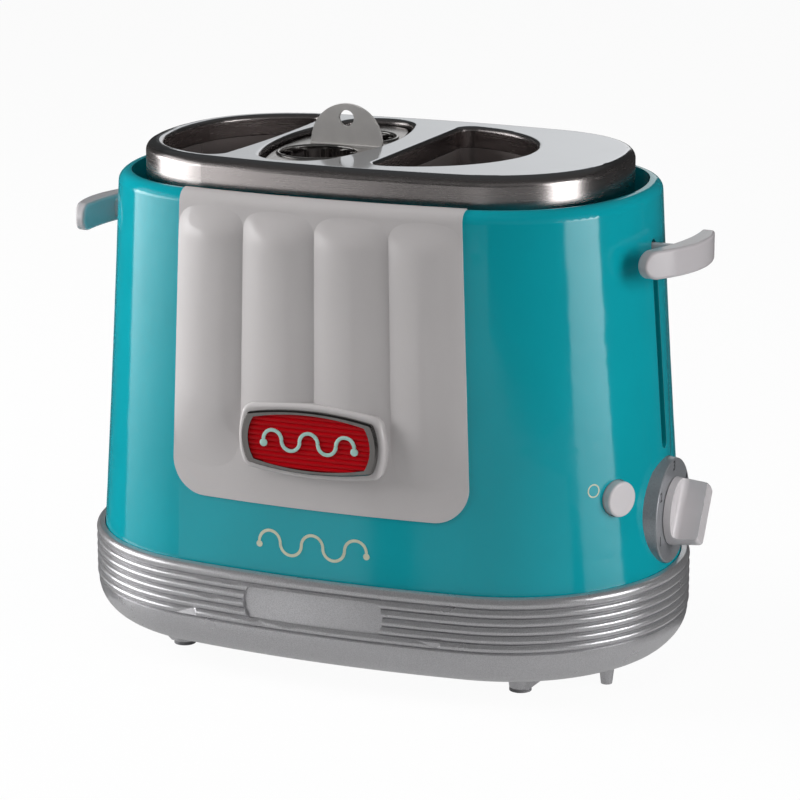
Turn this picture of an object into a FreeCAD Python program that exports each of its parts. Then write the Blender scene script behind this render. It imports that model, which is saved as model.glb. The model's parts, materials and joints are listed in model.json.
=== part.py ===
import FreeCAD, Part
import math
import os
from collections import namedtuple

# Pop-up hot dog toaster: a ribbed base, a leaning oval shell with a fluted front
# panel, and a steel top cover with two bun slots and a leaf-shaped sausage slot.
# Millimetres. X runs along the body to the dial end, Y to the rear and Z up.
# While it is drawn, the middle of the body on the table is the origin.

Vector = FreeCAD.Vector
Oval = namedtuple("Oval", "half_length half_depth front_radius end_radius corner_radius")
UP = Vector(0, 0, 1)
ALONG = Vector(1, 0, 0)
REARWARD = Vector(0, 1, 0)
OVERRUN = 2.0            # how far a cutting tool runs past the face it cuts
LARGE = 400.0            # longer than the toaster, for tools that cut right through
TOUCH = 0.001            # closer than this counts as touching

# Clearances
FIT_GAP = 0.3            # between pieces that lie close and do not touch
RUNNING_GAP = 0.05       # radial gap of a bush or shaft that turns or slides
SLIDE_GAP = 0.5          # around the tray and its opening

# Body outline where the shell meets the base
SEAM_Z = 49.0
BODY = Oval(130.0, 79.4, 513.0, 111.5, 73.9)
LENGTH_LEAN = 0.0775     # how much the half length shrinks for each mm of height
DEPTH_LEAN = 0.0172

# Base tub
SKIRT_TOP = 49.2
BEAD_CREST = 3.9         # out from the seam outline
BEAD_ROOT = 2.4
BEAD_COUNT = 5
BEAD_PITCH = 3.72
RIM_BEAD = 4.9
BOWL_EDGE = 3.4
BOWL_STEP = 0.7
UNDERSIDE_Z = 9.5
BOWL_TUCK = 9.0          # how far the flat underside lies inside the seam outline
TUB_WALL = 2.6
LEDGE_Z = 44.0
LEDGE_DEPTH = 4.0
LEDGE_THICKNESS = 2.5
PAD_HALF_WIDTH = 31.8
PAD_CORNER_X = 29.5
PAD_INSET = 0.2          # how far the plain pad lies behind the grooves
PAD_DROP = 0.9           # from the rim bead down to the pad
PAD_OVERLAP = 0.4        # how far the pad cuts into the lowest bead but one
PAD_CORNER_DROP = 0.3    # how much lower the pad's corners are than its middle
FOOT_X = 79.0
FOOT_Y = 44.0
FOOT_RADIUS = 4.75
FOOT_TOP_RADIUS = 6.4
FOOT_WEB = 7.0           # thickness of the web beside a foot
FOOT_WEB_REACH = 14.0
PAD_THICKNESS = 1.5
POST_X = 110.0
POST_Y = 23.0
POST_RADIUS = 2.4
POST_TOP_RADIUS = 3.6
POST_LIFT = 0.4          # the slender posts end just above the table

# Body shell
RIM_TOP = 208.5
RIM_ROUND = 5.0
LIP_INSET = 5.4
SHELL_WALL = 2.5
BORE_REACH = 10.0        # how far the tools for the round holes reach past the shell's face
TROUGH_FLOOR_Z = 196.0
TROUGH_WALL = 2.0

# Top cover
COVER = Oval(105.5, 66.0, 488.5, 100.2, 52.2)
COVER_TOP = 221.0
COVER_ROUND = 4.3
SHEET = 1.0
FLANGE_DEPTH = 9.0
OPENING_ROUND = 2.0
SHELF_WIDTH = 3.0        # how far the trough floor reaches in under the cover
LEFT_SLOT_INSET = 7.7
LEFT_SLOT_SIDE_X = -52.0
LEFT_SLOT_CORNER_X = -54.0
LEFT_SLOT_CORNER_Y = 50.0
SLOT_CORNER = 6.0
RIGHT_SLOT_RADIUS = 52.0
RIGHT_SLOT_CENTRE_X = 12.2
RIGHT_SLOT_SIDE_X = 13.5
LEAF_X = -23.6
LEAF_HALF_WIDTH = 23.4
LEAF_HALF_LENGTH = 55.8
LEAF_END_RADIUS = 17.0

# Front panel
PANEL_PROUD = 0.5
PANEL_TOP_HALF_WIDTH = 62.9
PANEL_BOTTOM_HALF_WIDTH = 67.8
PANEL_BOTTOM_Z = 79.0
PANEL_CORNER = 15.0
CREASE_SHARE = 0.512     # where the outer creases lie, as a share of the panel's half width
FLUTE_RISE = 3.0
FLUTE_LAP = 1.0          # how far a flute's arc reaches past its creases
FLUTE_DEPTH = 0.3        # how deep the ends of the arc lie under the panel's face
FLUTE_SINK = 0.1         # how deep the crest lies under the face at both ends of the flute
FLUTE_BOTTOM_Z = 88.0
FLUTE_FULL_Z = 124.0     # from here up the flute has its full rise
FLUTE_EASE_Z = 190.0     # from here up it sinks back into the panel
FLUTE_TOP_Z = 204.3
FLUTE_SECTIONS = 25

# Badge
BADGE_Z = 109.0
BADGE_HALF_WIDTH = 30.6
BADGE_CORNER_X = 28.0
BADGE_HALF_HEIGHT = 13.4
BADGE_CORNER_Z = 10.6
BADGE_CORNER_ROUND = 2.2
BADGE_THICKNESS = 2.0
BEZEL_SIDE = 3.0
BEZEL_BAND = 1.6
BEZEL_BEVEL = 0.7
BOSS_MARGIN = 2.5
BOSS_PROUD = 0.6         # above the crests of the flutes
BOSS_ROUND = 1.8
LENS_RIBS = 11
LENS_RIB_RISE = 0.45
LENS_DEPTH = 1.0

# Lift levers
LEVER_Z = 183.0
LEVER_HEIGHT = 12.0
LEVER_THICKNESS = 9.0    # at the middle of the crescent
LEVER_REACH = 140.3      # outer face at the middle
LEVER_HALF_SPAN = 30.5
LEVER_OUTER_RADIUS = 55.0
LEVER_INNER_RADIUS = 99.0
LEVER_YAW = 9.0          # degrees that the crescent's front end is turned in towards the shell
LEVER_EDGE = 1.3
NECK_HEIGHT = 8.0
NECK_THICKNESS = 4.0
LIFT_TRAVEL = 78.0
LEVER_SLOT_WIDTH = 6.0
SLOT_END_MARGIN = 1.5
SLOT_CUTTER_X = 100.0    # inside the shell's end wall, where the slot's cutter starts

# Dial, knob and cancel button
DIAL_Z = 72.6
DIAL_FACE_X = 130.5
DIAL_RADIUS = 22.3
DIAL_BACK_RADIUS = 23.4
DIAL_EDGE = 0.7
KNOB_RADIUS = 14.5
KNOB_LENGTH = 13.7
KNOB_FLANGE = 3.0
KNOB_NOSE_RADIUS = 13.2
GRIP_THICKNESS = 9.0
GRIP_LEAN = 31.0         # degrees that the top of the grip leans to the rear
GRIP_ROUND = 1.6
SHAFT_RADIUS = 3.0
BUTTON_ANGLE = -28.0     # degrees, in plan, from the dial end towards the front
BUTTON_Z = 86.6
BUTTON_RADIUS = 7.5
BUTTON_PROUD = 3.0
BUTTON_TRAVEL = 2.5
BUTTON_FLANGE = 1.8
BUTTON_SEAT = 1.5        # the shoulder's gap behind the leaning shell
BUTTON_STEM = 5.5
BUTTON_ROUND = 1.0
SWITCH_WIDTH = 12.0
SWITCH_HEIGHT = 9.0
SWITCH_DEPTH = 7.0

# Chassis
PLATE = 1.2
CHASSIS_FRONT_Y = -57.6
CHASSIS_LENGTH_LEFT = -70.0
CHASSIS_LENGTH_RIGHT = 75.0
CHASSIS_FLANGE = 7.0
LEFT_PLATE_X = -101.0
LEFT_PLATE_HALF_WIDTH = 30.0
RIGHT_PLATE_X = 70.0
RIGHT_PLATE_HALF_WIDTH = 50.0
RIGHT_FLANGE_X = 87.0
RIGHT_FLANGE_TOP = 191.0
LINER_SHEET = 0.8
LINER_BOTTOM = 24.0
BOARD_THICKNESS = 0.8
BOARD_BOTTOM = 40.0
BOARD_X = (-49.5, 6.6, 66.4)
HEATER_TURNS = 7
HEATER_WIDTH = 3.0
HEATER_THICKNESS = 0.4
HEATER_MARGIN = 14.0

# Carriage
BAR_THICKNESS = 4.0
BAR_HEIGHT = 10.0
BAR_BOTTOM = 103.0
BAR_SLOT_MARGIN = 3.0
CRADLE_SHEET = 1.5
CRADLE_MARGIN = 3.0
CRADLE_HOLE = 5.0
CRADLE_HOLE_PITCH = 13.0
ARM_X = 88.0
ARM_THICKNESS = 3.0
ARM_WIDTH = 12.0
LEFT_ARM_X = -106.0
TONGUE_END_X = 112.0
ROD_X = 80.0
ROD_Y = 22.0
ROD_RADIUS = 3.0
CROSSHEAD_Z = 150.0
CROSSHEAD_HALF_WIDTH = 39.0
CROSSHEAD_GAP = 1.2      # to the right plate
BUSH_RADIUS = 4.6
BUSH_LENGTH = 12.0
SPRING_Y = 34.0
SPRING_RADIUS = 3.4
SPRING_WIRE = 1.4
SPRING_COILS = 14
ARMATURE_Z = 124.0
ARMATURE_THICKNESS = 2.5
ARMATURE_WIDTH = 15.0
ARMATURE_DEPTH = 8.0
MAGNET_MARGIN = 1.0

# Sausage basket
WELL_Y = 20.5
WELL_RADIUS = 16.4
WELL_RIM = 1.7
WELL_WIRE = 1.0
WELL_WIRES = 12
BASKET_DROP = 3.8        # from the cover's top down to the plate
BASKET_PLATE_SHEET = 1.0
BASKET_MARGIN = 2.2
BASKET_FLOOR = 1.2
BASKET_TRAVEL = 110.0
RING_COUNT = 4
TAB_X = -19.5
TAB_HALF_WIDTH = 16.4
TAB_RISE = 18.2          # above the plate
TAB_SHEET = 1.5
TAB_HOLE_DROP = 6.2      # from the tab's top down to the hole's centre
TAB_HOLE_RADIUS = 3.5
TAB_FOOT = 3.0

# Electrics
CONTROL_BOARD_X = 98.0
CONTROL_BOARD_SHEET = 1.6
CONTROL_BOARD_HALF_WIDTH = 40.0
CONTROL_BOARD_TOP = 94.0
TIMER_RADIUS = 10.0
TIMER_LENGTH = 13.0
GLAND_X = 62.0
GLAND_Z = 62.0
GLAND_RADIUS = 7.0
GLAND_FLANGE = 9.0
GLAND_BORE = 3.6
GLAND_TIP_RADIUS = 5.0
GLAND_REACH = 9.0
GLAND_TAIL = 7.5         # inside the shell
TERMINAL_WIDTH = 22.0
TERMINAL_DEPTH = 10.0
TERMINAL_HEIGHT = 12.0

# Crumb tray
TRAY_LEFT = -86.0
TRAY_RIGHT = 66.0
TRAY_FRONT = -54.0
TRAY_WALL = 1.2
TRAY_DEPTH = 3.6
TRAY_WINDOW = 6.0        # height of the opening in the rear of the bowl
TRAY_WINDOW_REACH = 22.4  # how far in from the rear of the body the opening starts
TRAY_TRAVEL = 125.0
SCREW_X = 104.0
SCREW_Y = 36.0
SCREW_RADIUS = 3.2
SCREW_HEAD = 1.6
SCREW_SHANK = 1.6
SCREW_REACH = 7.0
SCREW_BOSS = 4.0

# Levels and reaches that follow from the sizes above
FLOOR_TOP = UNDERSIDE_Z + TUB_WALL
TROUGH_UNDERSIDE = TROUGH_FLOOR_Z - TROUGH_WALL
FLANGE_BOTTOM = COVER_TOP - FLANGE_DEPTH
BOARD_TOP = TROUGH_UNDERSIDE - FIT_GAP
BASKET_PLATE_Z = COVER_TOP - BASKET_DROP
TAB_TOP = BASKET_PLATE_Z + BASKET_PLATE_SHEET + TAB_RISE
LINER_TOP = FLANGE_BOTTOM - FIT_GAP
BAR_TOP = BAR_BOTTOM + BAR_HEIGHT
CRADLE_TOP = BAR_TOP + CRADLE_SHEET
LEVER_PATH_X = LEVER_REACH - LEVER_THICKNESS / 2
BEAD_BOTTOM = SKIRT_TOP - RIM_BEAD - BEAD_COUNT * BEAD_PITCH


def grown(oval, offset):
    """The oval with every side moved outward by the offset."""
    return Oval(*[size + offset for size in oval])


def body_at(z):
    """The body's oval at a height, as it leans in towards the top."""
    shrink = (z - SEAM_Z) * LENGTH_LEAN
    half_depth = BODY.half_depth - (z - SEAM_Z) * DEPTH_LEAN
    return grown(BODY, -shrink)._replace(half_depth=half_depth)


def corner_centre(oval):
    """Centre of the arc that joins the end arc to the front arc."""
    end_x = oval.half_length - oval.end_radius
    front_y = oval.half_depth - oval.front_radius
    front_reach = oval.front_radius - oval.corner_radius
    end_reach = oval.end_radius - oval.corner_radius
    apart = math.hypot(end_x, front_y)
    along = (front_reach ** 2 - end_reach ** 2 + apart ** 2) / (2 * apart)
    across = math.sqrt(front_reach ** 2 - along ** 2)
    east = end_x / apart
    north = -front_y / apart
    return east * along + north * across, front_y + north * along - east * across


def oval_arcs(oval):
    """Centre, radius, start angle and end angle of the eight arcs, counter-clockwise."""
    x, y = corner_centre(oval)
    end_x = oval.half_length - oval.end_radius
    front_y = oval.half_depth - oval.front_radius
    low = math.atan2(y, x - end_x)
    high = math.atan2(y - front_y, x)
    half = math.pi
    return [
        (end_x, 0, oval.end_radius, -low, low),
        (x, y, oval.corner_radius, low, high),
        (0, front_y, oval.front_radius, high, half - high),
        (-x, y, oval.corner_radius, half - high, half - low),
        (-end_x, 0, oval.end_radius, half - low, half + low),
        (-x, -y, oval.corner_radius, half + low, half + high),
        (0, -front_y, oval.front_radius, half + high, 2 * half - high),
        (x, -y, oval.corner_radius, 2 * half - high, 2 * half - low),
    ]


def oval_wire(oval, z):
    """Closed outline of an oval at a height."""
    edges = []
    for x, y, radius, start, end in oval_arcs(oval):
        circle = Part.Circle(Vector(x, y, z), UP, radius)
        edges.append(Part.ArcOfCircle(circle, start, end).toShape())
    return Part.Wire(edges)


def prism(wire, height):
    """Solid above a flat outline."""
    return Part.Face(wire).extrude(Vector(0, 0, height))


def oval_prism(oval, bottom, top):
    """Upright solid with an oval outline."""
    return prism(oval_wire(oval, bottom), top - bottom)


def body_loft(offset, bottom, top):
    """Leaning solid of the body, moved outward by the offset."""
    low = oval_wire(grown(body_at(bottom), offset), bottom)
    high = oval_wire(grown(body_at(top), offset), top)
    return Part.makeLoft([low, high], True, True)


def box_between(x0, x1, y0, y1, z0, z1):
    """Box between two corners."""
    return Part.makeBox(x1 - x0, y1 - y0, z1 - z0, Vector(x0, y0, z0))


def arc_edge(start, middle, end):
    """Arc through three points."""
    return Part.Arc(start, middle, end).toShape()


def line_edge(start, end):
    """Straight edge."""
    return Part.LineSegment(start, end).toShape()


def fused(shapes):
    """One solid from touching or overlapping ones."""
    return shapes[0].multiFuse(shapes[1:]).removeSplitter()


def top_edges(solid, z):
    """Edges that lie flat at a height."""
    return [edge for edge in solid.Edges
            if abs(edge.BoundBox.ZMin - z) < TOUCH and abs(edge.BoundBox.ZMax - z) < TOUCH]


def upright_edges(solid):
    """Straight edges that stand upright."""
    return [edge for edge in solid.Edges
            if edge.BoundBox.ZLength > TOUCH and edge.BoundBox.DiagonalLength - edge.BoundBox.ZLength < TOUCH]


# ---------------------------------------------------------------- base tub

def bowl_centre():
    """Centre, out from the seam and up, and radius of the arc of the bowl's wall."""
    rise = BEAD_BOTTOM - BOWL_STEP - UNDERSIDE_Z
    run = BOWL_EDGE + BOWL_TUCK
    radius = (run ** 2 + rise ** 2) / (2 * run)
    return BOWL_EDGE - radius, UNDERSIDE_Z + rise, radius


def skirt_face():
    """Cross-section, out from the seam and up, of the ribbed skirt and the bowl."""
    out, level, radius = bowl_centre()
    inner = radius - TUB_WALL
    inner_foot = out + math.sqrt(inner ** 2 - (level - FLOOR_TOP) ** 2)
    spots = [Vector(-LEDGE_DEPTH, 0, LEDGE_Z), Vector(FIT_GAP, 0, LEDGE_Z), Vector(FIT_GAP, 0, SKIRT_TOP),
             Vector(BEAD_ROOT, 0, SKIRT_TOP)]
    edges = [line_edge(a, b) for a, b in zip(spots, spots[1:])]
    levels = [SKIRT_TOP] + [SKIRT_TOP - RIM_BEAD - i * BEAD_PITCH for i in range(BEAD_COUNT + 1)]
    for high, low in zip(levels, levels[1:]):
        crest = Vector(BEAD_CREST, 0, (high + low) / 2)
        edges.append(arc_edge(Vector(BEAD_ROOT, 0, high), crest, Vector(BEAD_ROOT, 0, low)))
    edge_spot = Vector(BOWL_EDGE, 0, level)
    edges.append(line_edge(Vector(BEAD_ROOT, 0, BEAD_BOTTOM), edge_spot))
    tuck = Vector(-BOWL_TUCK, 0, UNDERSIDE_Z)
    edges.append(arc_edge(edge_spot, on_bowl(radius, tuck), tuck))
    foot = Vector(inner_foot, 0, FLOOR_TOP)
    wall = Vector(out + inner, 0, level)
    edges.append(line_edge(tuck, foot))
    edges.append(arc_edge(foot, on_bowl(inner, foot), wall))
    ledge_low = LEDGE_Z - LEDGE_THICKNESS
    reach = LEDGE_DEPTH + wall.x
    inside = [wall, Vector(wall.x, 0, ledge_low - reach), Vector(-LEDGE_DEPTH, 0, ledge_low), spots[0]]
    edges += [line_edge(a, b) for a, b in zip(inside, inside[1:])]
    return Part.Face(Part.Wire(edges))


def on_bowl(radius, foot):
    """Middle of a bowl arc of a radius between its level top and its foot."""
    out, level, _ = bowl_centre()
    half = math.atan2(level - foot.z, foot.x - out) / 2
    return Vector(out + radius * math.cos(half), 0, level - radius * math.sin(half))


def swept_ring(face):
    """The cross-section carried round the body's outline, one turn per arc."""
    pieces = []
    for x, y, radius, start, end in oval_arcs(BODY):
        section = face.copy()
        section.translate(Vector(radius, 0, 0))
        section.rotate(Vector(0, 0, 0), UP, math.degrees(start))
        section.translate(Vector(x, y, 0))
        pieces.append(section.revolve(Vector(x, y, 0), UP, math.degrees(end - start)))
    return fused(pieces)


def barrel_prism(mid_x, corner_x, mid_z, corner_z, centre_z, y0, y1):
    """Solid along Y whose outline has four bulging sides."""
    places = [(corner_x, -corner_z), (mid_x, 0), (corner_x, corner_z), (0, mid_z),
              (-corner_x, corner_z), (-mid_x, 0), (-corner_x, -corner_z), (0, -mid_z),
              (corner_x, -corner_z)]
    spots = [Vector(x, y0, centre_z + z) for x, z in places]
    edges = [arc_edge(*spots[i:i + 3]) for i in range(0, len(places) - 1, 2)]
    return Part.Face(Part.Wire(edges)).extrude(Vector(0, y1 - y0, 0))


def pad_recess():
    """What is taken off the middle ribs at the front to leave the plain pad."""
    top = SKIRT_TOP - RIM_BEAD - PAD_DROP
    bottom = BEAD_BOTTOM + BEAD_PITCH - PAD_OVERLAP
    half = (top - bottom) / 2
    recess = barrel_prism(PAD_HALF_WIDTH, PAD_CORNER_X, half, half - PAD_CORNER_DROP, (top + bottom) / 2,
                          -BODY.half_depth - BEAD_CREST - OVERRUN, -BODY.half_depth + BEAD_CREST)
    kept = oval_prism(grown(BODY, BEAD_ROOT - PAD_INSET), bottom - OVERRUN, top + OVERRUN)
    return recess.cut(kept)


def tray_window(clearance):
    """Opening in the rear of the bowl, or with a clearance the tray's face in it."""
    return box_between(TRAY_LEFT + clearance, TRAY_RIGHT - clearance, BODY.half_depth - TRAY_WINDOW_REACH,
                       LARGE,
                       FLOOR_TOP + clearance, FLOOR_TOP + TRAY_WINDOW - clearance)


def foot_spots(x, y):
    """The four mirrored places of a foot or a screw."""
    return [Vector(sx * x, sy * y, 0) for sx in (-1, 1) for sy in (-1, 1)]


def legs():
    """Tapered feet and slender posts under the floor of the tub."""
    top = UNDERSIDE_Z + TUB_WALL / 2
    pieces = []
    for spot in foot_spots(FOOT_X, FOOT_Y):
        low = spot + Vector(0, 0, PAD_THICKNESS)
        pieces.append(Part.makeCone(FOOT_RADIUS, FOOT_TOP_RADIUS, top - low.z, low))
        pieces.append(foot_web(low, math.copysign(1, spot.x)))
    for spot in foot_spots(POST_X, POST_Y):
        low = spot + Vector(0, 0, POST_LIFT)
        pieces.append(Part.makeCone(POST_RADIUS, POST_TOP_RADIUS, top - low.z, low))
    return pieces


def foot_web(low, side):
    """Sloped web from the outer side of a foot up to the floor of the tub."""
    spots = [low, low + ALONG * side * FOOT_RADIUS,
             Vector(low.x + side * FOOT_WEB_REACH, low.y, UNDERSIDE_Z),
             Vector(low.x + side * FOOT_WEB_REACH, low.y, UNDERSIDE_Z + TUB_WALL / 2),
             Vector(low.x, low.y, UNDERSIDE_Z + TUB_WALL / 2), low]
    web = Part.Face(Part.makePolygon(spots)).extrude(REARWARD * FOOT_WEB)
    web.translate(REARWARD * (-FOOT_WEB / 2))
    return web


def base_screw_holes():
    """Stepped holes for the screws that hold the base to the chassis."""
    holes = []
    for spot in foot_spots(SCREW_X, SCREW_Y):
        holes.append(Part.makeCylinder(SCREW_SHANK, LARGE, spot))
        holes.append(Part.makeCylinder(SCREW_RADIUS, UNDERSIDE_Z + SCREW_HEAD, spot))
    return holes


def base_ring_and_floor():
    """Skirt, bowl and floor before the recesses."""
    floor = oval_prism(grown(BODY, -BOWL_TUCK), UNDERSIDE_Z, FLOOR_TOP)
    return fused([swept_ring(skirt_face()), floor])


def make_base_tub(ring):
    """Silver base: ribbed skirt, bowl, floor, feet and posts."""
    bosses = [Part.makeCylinder(SCREW_BOSS, SCREW_REACH, spot + Vector(0, 0, UNDERSIDE_Z))
              for spot in foot_spots(SCREW_X, SCREW_Y)]
    tub = fused([ring] + legs() + bosses)
    return tub.cut([pad_recess(), tray_window(0)] + base_screw_holes())


def make_base_screws():
    """Four screws up through the floor into their bosses."""
    screws = []
    for spot in foot_spots(SCREW_X, SCREW_Y):
        head = Part.makeCylinder(SCREW_RADIUS - RUNNING_GAP, SCREW_HEAD, spot + Vector(0, 0, UNDERSIDE_Z))
        shank = Part.makeCylinder(SCREW_SHANK - RUNNING_GAP, SCREW_REACH, spot + Vector(0, 0, UNDERSIDE_Z))
        screws.append(head.fuse(shank))
    return Part.makeCompound(screws)


def make_foot_pads():
    """Rubber pads under the four feet."""
    pads = [Part.makeCylinder(FOOT_RADIUS, PAD_THICKNESS, spot) for spot in foot_spots(FOOT_X, FOOT_Y)]
    return Part.makeCompound(pads)


# ------------------------------------------------------------- body shell

def shell_outside(offset):
    """Leaning body with its rounded top edge, moved outward by the offset."""
    top = RIM_TOP + offset
    solid = body_loft(offset, LEDGE_Z, top)
    return solid.makeFillet(RIM_ROUND + offset, top_edges(solid, top))


def rim_oval():
    """Outline of the body at the height of its rim."""
    return body_at(RIM_TOP)


def lever_slot(side):
    """Slot with round ends for a lever's neck, in the end of the shell."""
    half = LEVER_SLOT_WIDTH / 2
    top = LEVER_Z + NECK_HEIGHT / 2 + SLOT_END_MARGIN
    bottom = LEVER_Z - LIFT_TRAVEL - NECK_HEIGHT / 2 - SLOT_END_MARGIN
    x = side * SLOT_CUTTER_X
    middle = box_between(min(x, side * LARGE), max(x, side * LARGE), -half, half, bottom + half, top - half)
    ends = [Part.makeCylinder(half, LARGE, Vector(x, 0, z), ALONG * side)
            for z in (bottom + half, top - half)]
    return fused([middle] + ends)


def button_frame():
    """Centre of the button on the shell's face, and the way it points."""
    angle = math.radians(BUTTON_ANGLE)
    way = Vector(math.cos(angle), math.sin(angle), 0)
    x, y, radius = next((x, y, radius) for x, y, radius, start, end in oval_arcs(body_at(BUTTON_Z))
                        if start <= angle <= end or start <= angle + 2 * math.pi <= end)
    return Vector(x, y, BUTTON_Z) + way * radius, way


def make_body_shell():
    """Turquoise shell with its rolled rim, the trough around the cover, and its slots."""
    lip = grown(rim_oval(), -LIP_INSET)
    cavity = body_loft(-SHELL_WALL, LEDGE_Z - OVERRUN, RIM_TOP - RIM_ROUND)
    trough = oval_prism(grown(lip, TROUGH_WALL), TROUGH_UNDERSIDE, RIM_TOP - RIM_ROUND)
    shell = shell_outside(0).cut(cavity).fuse(trough)
    face, way = button_frame()
    cutters = [
        oval_prism(lip, TROUGH_FLOOR_Z, LARGE),
        oval_prism(grown(COVER, -SHELF_WIDTH), TROUGH_UNDERSIDE - OVERRUN, LARGE),
        lever_slot(1),
        lever_slot(-1),
        Part.makeCylinder(BUTTON_RADIUS + FIT_GAP, 2 * BORE_REACH, face - way * BORE_REACH, way),
        Part.makeCylinder(SHAFT_RADIUS + FIT_GAP, BORE_REACH, Vector(DIAL_FACE_X - BORE_REACH, 0, DIAL_Z),
                          ALONG),
        gland_bore(),
    ]
    return shell.cut(cutters)


# ------------------------------------------------------------ front panel

def panel_outline():
    """Solid along Y, in front of the body, with the outline of the front panel."""
    top = RIM_TOP + PANEL_PROUD + OVERRUN
    top_half = panel_half_width(top)
    places = [(top_half, top), (PANEL_BOTTOM_HALF_WIDTH, PANEL_BOTTOM_Z),
              (-PANEL_BOTTOM_HALF_WIDTH, PANEL_BOTTOM_Z), (-top_half, top)]
    spots = [Vector(x, -LARGE, z) for x, z in places]
    solid = Part.Face(Part.makePolygon(spots + spots[:1])).extrude(REARWARD * LARGE)
    corners = [edge for edge in solid.Edges
               if edge.BoundBox.ZMax < PANEL_BOTTOM_Z + TOUCH and edge.BoundBox.YLength > OVERRUN]
    return solid.makeFillet(PANEL_CORNER, corners)


def panel_half_width(z):
    """Half width of the panel at a height."""
    slope = (PANEL_BOTTOM_HALF_WIDTH - PANEL_TOP_HALF_WIDTH) / (RIM_TOP - PANEL_BOTTOM_Z)
    return PANEL_TOP_HALF_WIDTH + slope * (RIM_TOP - z)


def panel_spot(z, along, out):
    """Point on the panel's face, measured along it from the middle and out from it."""
    oval = body_at(z)
    radius = oval.front_radius + PANEL_PROUD
    angle = along / radius
    centre_y = oval.front_radius - oval.half_depth
    return Vector((radius + out) * math.sin(angle), centre_y - (radius + out) * math.cos(angle), z)


def flute_rise(z):
    """How far the crest of a flute stands out of the panel's face at a height."""
    share = min((z - FLUTE_BOTTOM_Z) / (FLUTE_FULL_Z - FLUTE_BOTTOM_Z),
                (FLUTE_TOP_Z - z) / (FLUTE_TOP_Z - FLUTE_EASE_Z), 1)
    return share * share * (3 - 2 * share) * (FLUTE_RISE + FLUTE_SINK) - FLUTE_SINK


def make_flute(left, right):
    """One convex flute between two creases, given as shares of the panel's half width."""
    sections = []
    for step in range(FLUTE_SECTIONS):
        z = FLUTE_BOTTOM_Z + (FLUTE_TOP_Z - FLUTE_BOTTOM_Z) * step / (FLUTE_SECTIONS - 1)
        low = left * panel_half_width(z) - FLUTE_LAP
        high = right * panel_half_width(z) + FLUTE_LAP
        start = panel_spot(z, low, -FLUTE_DEPTH)
        end = panel_spot(z, high, -FLUTE_DEPTH)
        crest = panel_spot(z, (low + high) / 2, flute_rise(z))
        sections.append(Part.Wire([arc_edge(start, crest, end), line_edge(end, start)]))
    return Part.makeLoft(sections, True, False)


def boss_front():
    """Y of the flat front of the badge's boss."""
    return -(body_at(BADGE_Z).half_depth + PANEL_PROUD + FLUTE_RISE + BOSS_PROUD)


def badge_outline(offset, y0, y1):
    """Solid along Y with the badge's bulging outline, moved outward by the offset."""
    solid = barrel_prism(BADGE_HALF_WIDTH + offset, BADGE_CORNER_X + offset, BADGE_HALF_HEIGHT + offset,
                         BADGE_CORNER_Z + offset, BADGE_Z, y0, y1)
    corners = [edge for edge in solid.Edges if edge.BoundBox.YLength > abs(y1 - y0) / 2]
    return solid.makeFillet(BADGE_CORNER_ROUND + max(offset, 0), corners)


def make_front_panel():
    """White panel with four flutes and the boss that carries the badge."""
    skin = shell_outside(PANEL_PROUD)
    creases = [-1, -CREASE_SHARE, 0, CREASE_SHARE, 1]
    boss = badge_outline(BOSS_MARGIN, boss_front(), 0)
    front_edges = [edge for edge in boss.Edges if edge.BoundBox.YMax < boss_front() + BOSS_ROUND]
    boss = boss.makeFillet(BOSS_ROUND, front_edges)
    panel = skin.multiFuse([make_flute(left, right) for left, right in zip(creases, creases[1:])] + [boss])
    panel = panel.common(panel_outline())
    lip = oval_prism(grown(rim_oval(), -LIP_INSET), LEDGE_Z, LARGE)
    return panel.cut([shell_outside(0), lip]).removeSplitter()


# ------------------------------------------------------------------ badge

def bezel_opening(y0, y1):
    """Solid along Y with the outline of the window in the badge's frame."""
    return barrel_prism(BADGE_HALF_WIDTH - BEZEL_SIDE, BADGE_CORNER_X - BEZEL_SIDE,
                        BADGE_HALF_HEIGHT - BEZEL_BAND, BADGE_CORNER_Z - BEZEL_BAND, BADGE_Z, y0, y1)


def make_badge_frame():
    """Chromed frame around the ribbed lens."""
    back = boss_front()
    front = back - BADGE_THICKNESS
    plate = badge_outline(0, front, back)
    rim = [edge for edge in plate.Edges if edge.BoundBox.YMax < front + BEZEL_BEVEL / 2]
    return plate.makeChamfer(BEZEL_BEVEL, rim).cut(bezel_opening(front - OVERRUN, back + OVERRUN))


def make_badge_lens():
    """Red lens with level ribs."""
    back = boss_front()
    front = back - LENS_DEPTH
    height = 2 * (BADGE_HALF_HEIGHT - BEZEL_BAND)
    pitch = height / LENS_RIBS
    radius = ((pitch / 2) ** 2 + LENS_RIB_RISE ** 2) / (2 * LENS_RIB_RISE)
    slab = box_between(-BADGE_HALF_WIDTH, BADGE_HALF_WIDTH, front, back, BADGE_Z - height / 2,
                       BADGE_Z + height / 2)
    ribs = []
    for i in range(LENS_RIBS):
        z = BADGE_Z - height / 2 + (i + 0.5) * pitch
        centre = Vector(-BADGE_HALF_WIDTH, front + radius - LENS_RIB_RISE, z)
        ribs.append(Part.makeCylinder(radius, 2 * BADGE_HALF_WIDTH, centre, ALONG))
    return fused([slab] + ribs).common(bezel_opening(front - OVERRUN, back))


# -------------------------------------------------------------- top cover

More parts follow.
